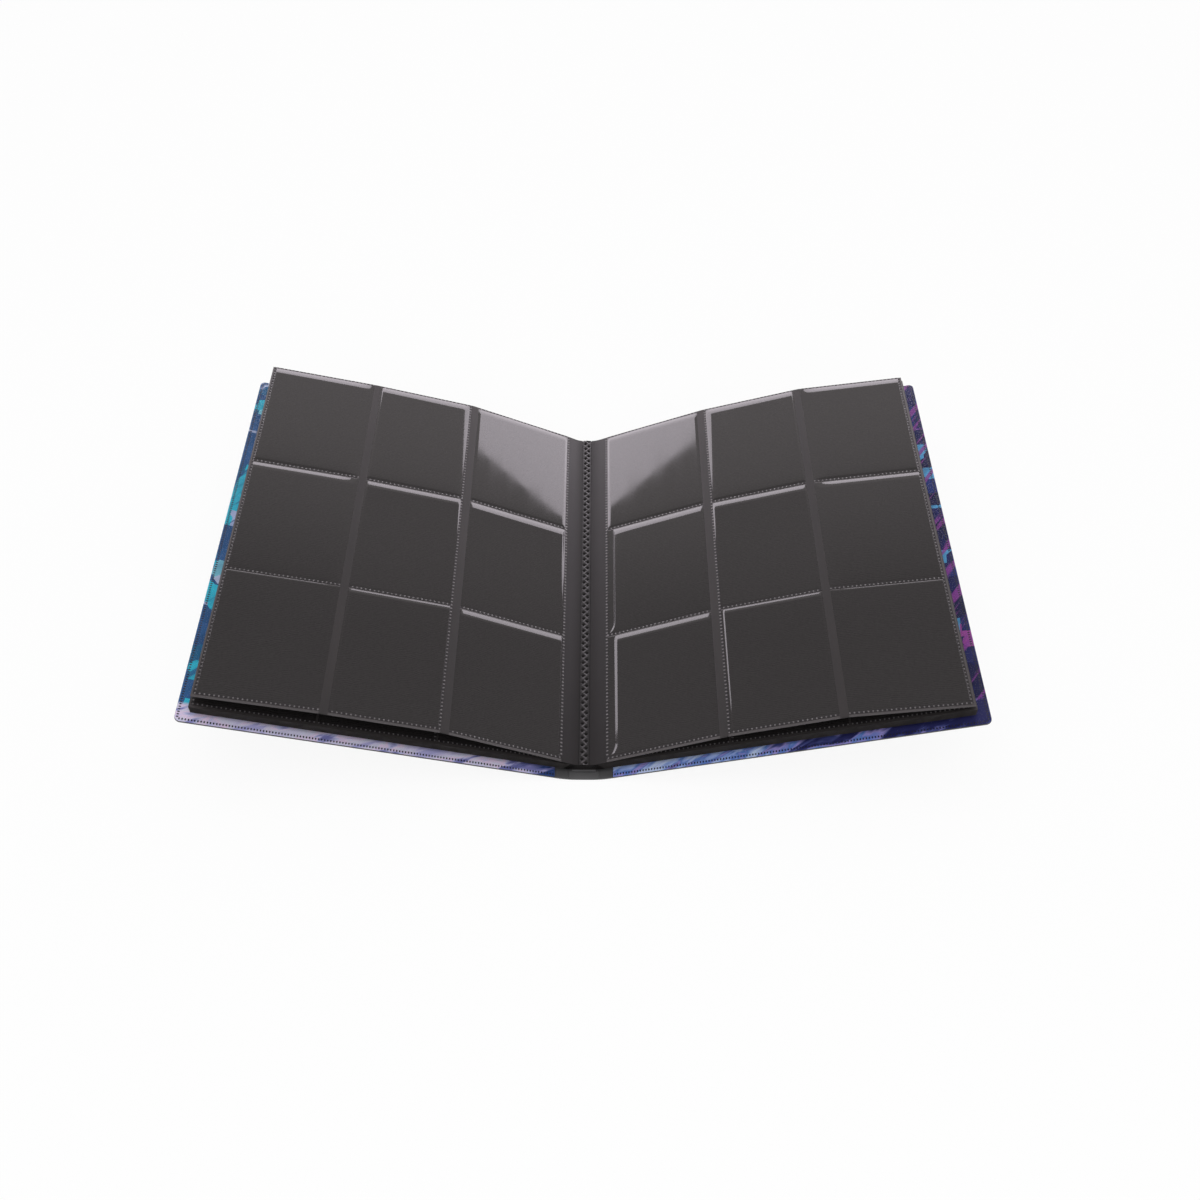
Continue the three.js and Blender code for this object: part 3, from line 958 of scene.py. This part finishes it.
def add_second_leaf(side, sizes):
    """Films and weld dots on the front of the leaf under the top one, which shows when that is turned."""
    sign = SIDES[side]
    place = pivot(f"{side}_leaf_02_fold")
    level = LEAF_POCKET + SHEET_GAP
    start = abs(TOP_LEAF[side]["gutter"][0].x) + TOP_LEAF[side]["gutter"][2] - abs(place.x)
    for column in COLUMNS:
        width = TOP_LEAF[side][column][2]
        near, far = start + COLUMN_WELD_GAP, start + width - COLUMN_WELD_GAP
        piece = joined_films(f"{side}_leaf_02_film_{column}", sign, column, near, far, level, 1, sizes)
        settle(piece, place, -sign * COVER_SLOPE)
        smooth(piece, 50)
        dress(piece, "film")
        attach(piece, f"{side}_leaf_02")
        dots = column_dots(
            f"{side}_leaf_02_weld_dots_{column}", sign, column, near, far,
            level + sizes.film_thickness, 1, sizes)
        settle(dots, place, -sign * COVER_SLOPE)
        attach(dots, f"{side}_leaf_02")
        start += width


def add_column_strip(side, column, after, sizes):
    """The smooth strip between two columns, bent over the line where they meet."""
    sign = SIDES[side]
    slope = TOP_LEAF[side][column][1]
    far_place, far_slope, _ = TOP_LEAF[side][after]
    reach = COLUMN_WELD_GAP + sizes.far_weld_width
    over = COLUMN_WELD_GAP
    thickness = 0.06 * MM
    film_gap, end_gap = 0.03 * MM, 0.1 * MM
    straight_share = 0.7
    level = TOP_BACKING / 2 + sizes.film_thickness + film_gap
    for face, title in ((1, "front"), (-1, "back")):
        piece = lattice(
            f"{side}_top_leaf_{title}_strip_{column}", [-reach] + spaced(-over, over, 9),
            [PAGE_BOTTOM + end_gap, PAGE_TOP - end_gap])
        spots = points_of(piece)
        out = spots[:, 0].copy()
        turned = bent_over(out + over, 2 * over)
        normal = slope + (far_slope - slope) * turned
        halfway = slope + (far_slope - slope) / 2
        bend = np.where(out < 0, slope, far_slope) * straight_share + halfway * (1 - straight_share)
        lift = face * (level + thickness / 2)
        spots[:, 0] = sign * (abs(far_place.x) + out * np.cos(bend) - lift * np.sin(normal))
        spots[:, 2] = far_place.z + out * np.sin(bend) + lift * np.cos(normal)
        move_points(piece, spots)
        apply_modifier(piece, "SOLIDIFY", thickness=thickness, offset=0)
        face_out(piece)
        smooth(piece)
        dress(piece, "strip")
        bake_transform(piece)


# Gutter and seam.

def hermite(first, second, first_slope, second_slope, count):
    """Points on a smooth curve from one point of the X-Z plane to another, with a slope at each end."""
    length = (Vector(second) - Vector(first)).length
    lead = np.array((math.cos(first_slope), math.sin(first_slope))) * length
    arrive = np.array((math.cos(second_slope), math.sin(second_slope))) * length
    start, stop = np.array(first), np.array(second)
    points = []
    for t in np.linspace(0, 1, count):
        points.append(
            (2 * t ** 3 - 3 * t ** 2 + 1) * start + (t ** 3 - 2 * t ** 2 + t) * lead
            + (3 * t ** 2 - 2 * t ** 3) * stop + (t ** 3 - t ** 2) * arrive)
    return np.array(points)


def curved_sheet(name, sign, path, thickness):
    """A sheet as long as the page, bent along a path of distances and heights."""
    piece = lattice(name, range(len(path)), [PAGE_BOTTOM, PAGE_TOP])
    spots = points_of(piece)
    index = np.rint(spots[:, 0]).astype(int)
    spots[:, 0] = sign * path[index, 0]
    spots[:, 2] = path[index, 1]
    move_points(piece, spots)
    apply_modifier(piece, "SOLIDIFY", thickness=thickness, offset=0)
    face_out(piece)
    smooth(piece, 60)
    return piece


def add_gutter_band(side, sizes):
    """The plain band between seam and pockets, which leaves the seam level and bends up into the page."""
    sign = SIDES[side]
    place, slope, _ = TOP_LEAF[side]["inner"]
    seam_gap, lift = 0.5 * MM, 0.03 * MM
    first = (sizes.seam_half_width + seam_gap, SEAM_TOP + lift)
    path = hermite(first, (abs(place.x), place.z), 0.0, slope, 25)
    piece = curved_sheet(f"{side}_top_leaf_gutter_sheet", sign, path, TOP_BACKING)
    dress(piece, "page")
    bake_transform(piece)
    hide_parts(f"{side}_top_leaf_gutter_band")


def add_leaf_folds(side):
    """The inner ends of leaves two to ten: each comes level out of the seam and bends up into its leaf."""
    sign = SIDES[side]
    middle_gap = 0.05 * MM
    before, reach = 2.2 * MM, 4.5 * MM
    thickness = 0.34 * MM
    for number in LOWER_LEAVES:
        fold = pivot(f"{side}_leaf_{number:02d}_fold")
        out, height = abs(fold.x), fold.z
        far = (out + reach * math.cos(COVER_SLOPE), height + reach * math.sin(COVER_SLOPE))
        path = hermite((out - before, height), far, 0.0, COVER_SLOPE, 9)
        path = np.vstack([[middle_gap, height], path])
        piece = curved_sheet(f"{side}_leaf_{number:02d}_fold_sheet", sign, path, thickness)
        dress(piece, "page")
        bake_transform(piece)
        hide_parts("page_seam")


# The seam's weld: its ridge, the pits in the bays of the zigzag, and the strip that both are pressed into.
# A pit's floor is level from a share of its pattern on.
RIDGE_WIDTH = 0.55 * MM
RIDGE_HEIGHT = 0.3 * MM
PIT_WIDTH = 0.95 * MM
PIT_LENGTH = 1.0 * MM
PIT_DEPTH = 0.75 * MM
PIT_FLOOR = 0.8
SEAM_STRIP = 0.2 * MM
SEAM_LIFT = 0.12 * MM
SEAM_EDGE = 0.5 * MM
SEAM_STEP = 0.31 * MM


def seam_pattern(out, up, sizes):
    """The seam's zigzag ridge and the pits in its bays, each as a share from 0 to 1."""
    period, reach = sizes.zigzag_period, sizes.zigzag_reach
    pit_place, pit_fill = 1.05 * reach, 1.15
    phase = np.mod(up / period, 1.0)
    centre = reach * (1 - 4 * np.abs(phase - 0.5))
    ridge = np.exp(-((out - centre) / RIDGE_WIDTH) ** 2)
    pit = np.zeros_like(out)
    for shift, side in ((0.0, 1), (0.5, -1)):
        along = (np.mod(phase - shift + 0.5, 1.0) - 0.5) * period
        away = np.hypot((out - side * pit_place) / PIT_WIDTH, along / PIT_LENGTH)
        pit = np.maximum(pit, np.clip(pit_fill - away, 0, 1))
    return ridge, pit


def add_seam(sizes):
    """The top double sheet's strip along the fold, with the zigzag weld pressed into it."""
    half = sizes.seam_half_width
    steps = int((PAGE_TOP - PAGE_BOTTOM) / SEAM_STEP)
    piece = lattice("page_seam_weld", spaced(-half, half, 21), spaced(PAGE_BOTTOM, PAGE_TOP, steps))
    spots = points_of(piece)
    ridge, pit = seam_pattern(spots[:, 0], spots[:, 1], sizes)
    edge = bent_over(half - np.abs(spots[:, 0]), SEAM_EDGE)
    pressed = RIDGE_HEIGHT * ridge - PIT_DEPTH * bent_over(pit, PIT_FLOOR)
    spots[:, 2] = SEAM_TOP + SEAM_LIFT + edge * (SEAM_LIFT + pressed)
    move_points(piece, spots)
    # Painted shade and highlight by height: a half on the plain strip, less in a pit, more on a ridge.
    level = np.clip(0.5 + 0.5 * ridge - 0.9 * pit, 0, 1)
    attribute = piece.data.attributes.new("weld_painted_shade_and_highlight", "FLOAT", "POINT")
    attribute.data.foreach_set("value", level.astype(np.float32))
    apply_modifier(piece, "SOLIDIFY", thickness=SEAM_STRIP, offset=-1, use_even_offset=False)
    face_out(piece)
    smooth(piece, 70)
    dress(piece, "seam")
    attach(piece, "spine")
    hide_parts("page_seam")


# Covers.

# The recess that holds print and film, and what lies in it, as levels above the plain band's inner face.
RECESS_FLOOR = -0.45 * MM
PRINT_LEVELS = (-0.42 * MM, -0.22 * MM)
COVER_FILM_LEVELS = (-0.2 * MM, -0.1 * MM)
RECESS_GAP = 0.4 * MM
SHOWN_RIM = 0.2 * MM
PRINT_INSET = 0.1 * MM
# Room between the liner's edge and the fold line, and between the fold line and the wall beside the liner.
LINER_GAP = 0.95 * MM
SPINE_WALL = 0.85 * MM
# Longer and shorter width of a dot of the cover's weld, where its lines start past the plain band, and how
# far they stop short of each other.
COVER_DOT_LONG = 1.45 * MM
COVER_DOT_SHORT = 0.85 * MM
COVER_DOT_START = 1.5 * MM
COVER_DOT_GAP = 1.2 * MM


def fold_map(out, level, curve):
    """Takes a distance along the unfolded cover and a level above its inner face to X and Z.

    The cover bends on an arc from one curve length before the fold line to one after it."""
    radius = 2 * curve / COVER_SLOPE
    start = FOLD.x - curve
    over = np.clip(out - start, 0, 2 * curve)
    angle = over / radius
    past = np.clip(out - start - 2 * curve, 0, None)
    lift = level + COVER_THICKNESS
    # The arc is as long as the sheet that it bends, so the cover ends up to 0.1 mm further out than on a
    # sharp fold.
    x = np.minimum(out, start) + radius * np.sin(angle) + past * math.cos(COVER_SLOPE)
    z = radius * (1 - np.cos(angle)) + past * math.sin(COVER_SLOPE)
    return x - lift * np.sin(angle), z + lift * np.cos(angle)


def sheet_profile(curve):
    """Outline of the half cover's section: distances from the middle of the spine, and levels."""
    fold = FOLD.x
    edge = fold + COVER_PANEL
    band_end = fold + PLAIN_BAND
    wall = fold - SPINE_WALL
    wall_run, wall_drop = 0.1 * MM, 0.04 * MM
    past_fold, recess_run = 0.8 * MM, 0.15 * MM
    spine = SPINE_SHEET - COVER_THICKNESS
    bottom = [(x, -COVER_THICKNESS) for x in [0] + spaced(fold - curve, fold + curve, 15) + [edge]]
    top = [(0, spine), (wall, spine), (wall + wall_run, -wall_drop), (fold, 0.0)]
    top += [(x, 0.0) for x in spaced(fold + past_fold, fold + curve, 7)]
    top += [(band_end, 0.0), (band_end + recess_run, RECESS_FLOOR), (edge, RECESS_FLOOR)]
    return bottom + top[::-1]


def add_cover_sheet(side, sizes):
    """Half of the one-piece outer sheet, from the middle of the spine to the fore edge."""
    sign = SIDES[side]
    curve = sizes.spine_curve
    outline = sheet_profile(curve)
    deselect()
    bpy.ops.mesh.primitive_circle_add(
        vertices=len(outline), radius=1, fill_type="NGON", location=(0, 0, 0))
    piece = bpy.context.object
    piece.name = f"{side}_cover_sheet"
    spots = points_of(piece)
    turn = np.argsort(np.arctan2(spots[:, 1], spots[:, 0]))
    for index, (out, level) in zip(turn, outline):
        spots[index] = (out, -COVER_HALF, level)
    move_points(piece, spots)
    pick(piece)
    bpy.ops.object.mode_set(mode="EDIT")
    bpy.ops.mesh.select_all(action="SELECT")
    bpy.ops.mesh.extrude_region_move(TRANSFORM_OT_translate={"value": (0, 2 * COVER_HALF, 0)})
    bpy.ops.object.mode_set(mode="OBJECT")
    round_corners(piece, FOLD.x + COVER_PANEL, CORNER_RADIUS, 8)
    spots = points_of(piece)
    x, z = fold_map(spots[:, 0], spots[:, 2], curve)
    spots[:, 0], spots[:, 2] = sign * x, z
    move_points(piece, spots)
    face_out(piece)
    smooth(piece, 30)
    dress(piece, "cover")
    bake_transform(piece)
    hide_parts(f"{side}_cover_outer_sheet", "spine_outer_sheet")


def rounded_plate(name, sign, near, far, half, low, high, radius):
    """A thin plate whose two outer corners are rounded."""
    piece = plate(name, (near, -half, low), (far, half, high))
    round_corners(piece, far, radius, 6)
    mirrored(piece, sign)
    face_out(piece)
    return piece


def add_print_and_film(side):
    """The printed sheet of one cover and the clear film welded over it."""
    sign = SIDES[side]
    place = pivot(f"{side}_cover_fold")
    near = PLAIN_BAND + RECESS_GAP
    far = COVER_PANEL - SHOWN_RIM
    half = COVER_HALF - SHOWN_RIM
    radius = CORNER_RADIUS - SHOWN_RIM
    body = f"{side}_cover"
    print_piece = rounded_plate(
        f"{side}_cover_print_sheet", sign, near, far - PRINT_INSET, half - PRINT_INSET, *PRINT_LEVELS,
        radius)
    settle(print_piece, place, -sign * COVER_SLOPE)
    dress(print_piece, f"{side}_print")
    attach(print_piece, body)
    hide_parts(f"{side}_cover_print")
    film = rounded_plate(f"{side}_cover_film_sheet", sign, near, far, half, *COVER_FILM_LEVELS, radius)
    settle(film, place, -sign * COVER_SLOPE)
    dress(film, "cover_film")
    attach(film, body)
    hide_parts(f"{side}_cover_clear_film")


def cover_dot(name, across, along):
    """One dot of the cover's weld: an oval dish with a raised film ring round a dark fused middle."""
    height, dish = 0.06 * MM, 0.03 * MM
    ring_share = 0.11
    piece = round_blank(name, 10)
    bpy.ops.mesh.extrude_region_move(TRANSFORM_OT_translate={"value": (0, 0, height)})
    bpy.ops.mesh.inset(thickness=ring_share)
    bpy.ops.transform.translate(value=(0, 0, -dish))
    bpy.ops.object.mode_set(mode="OBJECT")
    spots = points_of(piece)
    spots *= (across, along, 1)
    spots[:, 2] += COVER_FILM_LEVELS[1]
    move_points(piece, spots)
    face_out(piece)
    return piece


def add_cover_dots(side, sizes):
    """The dotted weld round three edges of a cover's film."""
    sign = SIDES[side]
    place = pivot(f"{side}_cover_fold")
    inset, pitch = sizes.cover_dot_inset, sizes.cover_dot_pitch
    near = PLAIN_BAND + COVER_DOT_START
    far = COVER_PANEL - inset
    end = COVER_HALF - inset
    lines = []
    for name, up in (("foot", -end), ("head", end)):
        lines.append(dot_line(
            f"{side}_dots_{name}", (sign * near, up, 0), (sign * (far - COVER_DOT_GAP), up, 0), pitch,
            lambda title: cover_dot(title, COVER_DOT_SHORT, COVER_DOT_LONG)))
    last = end - COVER_DOT_GAP
    lines.append(dot_line(
        f"{side}_dots_edge", (sign * far, -last, 0), (sign * far, last, 0), pitch,
        lambda title: cover_dot(title, COVER_DOT_LONG, COVER_DOT_SHORT)))
    piece = join(lines, f"{side}_cover_weld_dots")
    settle(piece, place, -sign * COVER_SLOPE)
    dress(piece, "dark_weld")
    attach(piece, f"{side}_cover")


def add_spine_inside():
    """Liner strip glued into the spine, and the binding strip that carries the bundle of leaves."""
    low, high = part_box("spine_liner")
    half = FOLD.x - LINER_GAP
    piece = plate("spine_liner_strip", (-half, low.y, SPINE_SHEET), (half, high.y, high.z))
    apply_modifier(piece, "BEVEL", width=0.12 * MM, segments=2, limit_method="ANGLE")
    smooth(piece)
    dress(piece, "cover")
    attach(piece, "spine")
    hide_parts("spine_liner")
    low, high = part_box("binding_strip")
    piece = plate("binding_strip_bar", low, high)
    apply_modifier(piece, "BEVEL", width=0.5 * MM, segments=4, limit_method="ANGLE")
    smooth(piece)
    dress(piece, "cover")
    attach(piece, "spine")
    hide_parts("binding_strip")


def dress_frame_nodes():
    """Finishes of the frame's own nodes that stay in view."""
    for node in frame["nodes"].values():
        if not node.hide_render:
            lay_finish(node, "backing")


# Stage.

def add_floor(colours):
    """A pale floor that takes the album's soft shadow."""
    reach, gap = 6.0, 0.05 * MM
    deselect()
    bpy.ops.mesh.primitive_plane_add(size=2 * reach, location=(0, 0, -gap))
    floor = bpy.context.object
    floor.name = "studio_floor"
    floor.data.materials.append(studio_floor(colours.floor))


def add_world():
    """White surroundings for the eye.

    Mirrors see them brighter low at the back, where the wall above the panel is lit by it, and shade takes
    a softer sky."""
    sky, plain_wall, lit_wall = 0.6, 0.98, 1.7
    # The wall goes from plain to lit between these two directions, as shares of straight to the back.
    plain_end, lit_start = 0.61, 0.74
    world = bpy.data.worlds.new("studio_world")
    bpy.context.scene.world = world
    world.use_nodes = True
    tree = world.node_tree
    tree.nodes.clear()
    path = add_node(tree, "ShaderNodeLightPath").outputs
    toward = add_node(tree, "ShaderNodeTexCoord").outputs["Generated"]
    axes = add_node(tree, "ShaderNodeSeparateXYZ", {0: toward}).outputs
    wall = add_node(tree, "ShaderNodeMapRange", {
        0: axes["Y"], 1: plain_end, 2: lit_start, 3: plain_wall, 4: lit_wall},
        interpolation_type="SMOOTHSTEP")
    around = add_node(tree, "ShaderNodeMix", {0: path["Is Glossy Ray"], 2: sky, 3: wall.outputs[0]})
    seen = add_node(tree, "ShaderNodeMath", {
        0: path["Is Camera Ray"], 1: path["Is Transmission Ray"]}, operation="MAXIMUM")
    strength = add_node(tree, "ShaderNodeMix", {0: seen.outputs[0], 2: around.outputs[0], 3: 1.0})
    colour = add_node(tree, "ShaderNodeMix", {
        0: path["Is Glossy Ray"], 6: linear("#ffffff"), 7: linear("#fff7f9")}, data_type="RGBA")
    background = add_node(
        tree, "ShaderNodeBackground", {"Color": colour.outputs[2], "Strength": strength.outputs[0]})
    add_node(tree, "ShaderNodeOutputWorld", {"Surface": background.outputs[0]})


def area_light(name, place, aim, width, height, radiance, for_mirrors):
    """A rectangular soft light of a given brightness, which shows only in mirrors or only in shade."""
    deselect()
    bpy.ops.object.light_add(type="AREA", location=place)
    lamp = bpy.context.object
    lamp.name = name
    lamp.data.shape = "RECTANGLE"
    lamp.data.size = width
    lamp.data.size_y = height
    lamp.data.energy = radiance * math.pi * width * height
    lamp.rotation_euler = (Vector(aim) - Vector(place)).to_track_quat("-Z", "Y").to_euler()
    lamp.visible_camera = False
    lamp.visible_glossy = for_mirrors
    lamp.visible_diffuse = not for_mirrors
    return lamp


def add_lights(colours):
    """A soft light above, and a low back panel whose top edge the inner pockets mirror."""
    panel_width, panel_height, panel_back = 5.2, 0.87, 1.2
    middle = panel_height / 2
    album = (0, 0, 0)
    panel = area_light(
        "back_panel", (0, panel_back, middle), (0, 0, middle), panel_width, panel_height,
        colours.panel_light, True)
    panel.data.color = colours.panel
    area_light("top_softbox", (0, -0.3, 2.4), album, 2.6, 2.6, colours.top_light, False)
    area_light("front_softbox", (0, -2.2, 1.5), album, 2.6, 1.6, colours.top_light, False)


def add_camera():
    """The camera, at the photograph's distance and angle."""
    place = Vector((6.8, -547.85, 645.1)) * MM
    elevation = math.radians(49.89)
    azimuth = math.radians(0.27)
    roll = math.radians(0.41)
    # The photograph is 1200 pixels wide, and its camera stands 1283 pixels off the picture plane.
    photo_width, photo_distance = 1200, 1283
    data = bpy.data.cameras.new("photo_camera")
    data.sensor_width = 36
    data.lens = data.sensor_width * photo_distance / photo_width
    camera = bpy.data.objects.new("photo_camera", data)
    bpy.context.scene.collection.objects.link(camera)
    turn = Matrix.Rotation(-azimuth, 4, "Z") @ Matrix.Rotation(math.pi / 2 - elevation, 4, "X")
    camera.matrix_world = Matrix.Translation(place) @ turn @ Matrix.Rotation(roll, 4, "Z")
    bpy.context.scene.camera = camera


class ALBUM_OT_stage(bpy.types.Operator):
    """Add the floor, the surroundings, the lights and the camera"""
    bl_idname = "album.stage"
    bl_label = "Stage"

    def execute(self, context):
        scene = context.scene
        scene.view_settings.view_transform = "Standard"
        add_camera()
        add_floor(scene.album_colours)
        add_world()
        add_lights(scene.album_colours)
        return {"FINISHED"}


class ALBUM_OT_covers(bpy.types.Operator):
    """Add the outer sheet, the prints, the cover films and their weld dots"""
    bl_idname = "album.covers"
    bl_label = "Covers"

    def execute(self, context):
        sizes = context.scene.album_sizes
        for side in SIDES:
            add_cover_sheet(side, sizes)
            add_print_and_film(side)
            add_cover_dots(side, sizes)
        return {"FINISHED"}


class ALBUM_OT_spine(bpy.types.Operator):
    """Add the spine liner, the binding strip, the seam and the folds of the leaves"""
    bl_idname = "album.spine"
    bl_label = "Spine and seam"

    def execute(self, context):
        sizes = context.scene.album_sizes
        add_spine_inside()
        add_seam(sizes)
        for side in SIDES:
            add_leaf_folds(side)
            add_gutter_band(side, sizes)
        return {"FINISHED"}


class ALBUM_OT_front_pockets(bpy.types.Operator):
    """Add the pocket films and welds on the front of both top leaves"""
    bl_idname = "album.front_pockets"
    bl_label = "Front pockets"

    def execute(self, context):
        for side in SIDES:
            add_front_pockets(side, context.scene.album_sizes)
        return {"FINISHED"}


class ALBUM_OT_back_pockets(bpy.types.Operator):
    """Add the pocket films and welds on the back of both top leaves"""
    bl_idname = "album.back_pockets"
    bl_label = "Back pockets"

    def execute(self, context):
        for side in SIDES:
            add_back_pockets(side, context.scene.album_sizes)
        return {"FINISHED"}


class ALBUM_OT_second_leaves(bpy.types.Operator):
    """Add the pocket films and welds on the leaves under the top ones"""
    bl_idname = "album.second_leaves"
    bl_label = "Second leaves"

    def execute(self, context):
        for side in SIDES:
            add_second_leaf(side, context.scene.album_sizes)
        return {"FINISHED"}


class ALBUM_OT_column_strips(bpy.types.Operator):
    """Add the smooth strips between the columns of both top leaves"""
    bl_idname = "album.column_strips"
    bl_label = "Column strips"

    def execute(self, context):
        for side in SIDES:
            for column, after in zip(COLUMNS, COLUMNS[1:]):
                add_column_strip(side, column, after, context.scene.album_sizes)
        return {"FINISHED"}


class ALBUM_OT_frame_finishes(bpy.types.Operator):
    """Give the frame's own leaves and backings their finish"""
    bl_idname = "album.frame_finishes"
    bl_label = "Leaf finishes"

    def execute(self, context):
        dress_frame_nodes()
        return {"FINISHED"}


class ALBUM_PT_panel(bpy.types.Panel):
    """Sidebar panel that lists the album's pieces"""
    bl_idname = "ALBUM_PT_panel"
    bl_label = "Trading Card Album"
    bl_space_type = "VIEW_3D"
    bl_region_type = "UI"
    bl_category = "Album"

    def draw(self, context):
        for operator in OPERATORS:
            self.layout.operator(operator.bl_idname)
        for name in AlbumSizes.__annotations__:
            self.layout.prop(context.scene.album_sizes, name)
        for name in AlbumColours.__annotations__:
            self.layout.prop(context.scene.album_colours, name)


OPERATORS = (
    ALBUM_OT_stage, ALBUM_OT_covers, ALBUM_OT_spine, ALBUM_OT_front_pockets, ALBUM_OT_back_pockets,
    ALBUM_OT_second_leaves, ALBUM_OT_column_strips, ALBUM_OT_frame_finishes,
)
CLASSES = (AlbumSizes, AlbumColours, *OPERATORS, ALBUM_PT_panel)


def register():
    for one in CLASSES:
        bpy.utils.register_class(one)
    bpy.types.Scene.album_sizes = PointerProperty(type=AlbumSizes)
    bpy.types.Scene.album_colours = PointerProperty(type=AlbumColours)


def unregister():
    del bpy.types.Scene.album_colours
    del bpy.types.Scene.album_sizes
    for one in reversed(CLASSES):
        bpy.utils.unregister_class(one)


def main():
    """Registers the add-on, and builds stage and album."""
    register()
    for operator in OPERATORS:
        getattr(bpy.ops.album, operator.bl_idname.split(".")[1])()


if __name__ == "__main__":
    main()
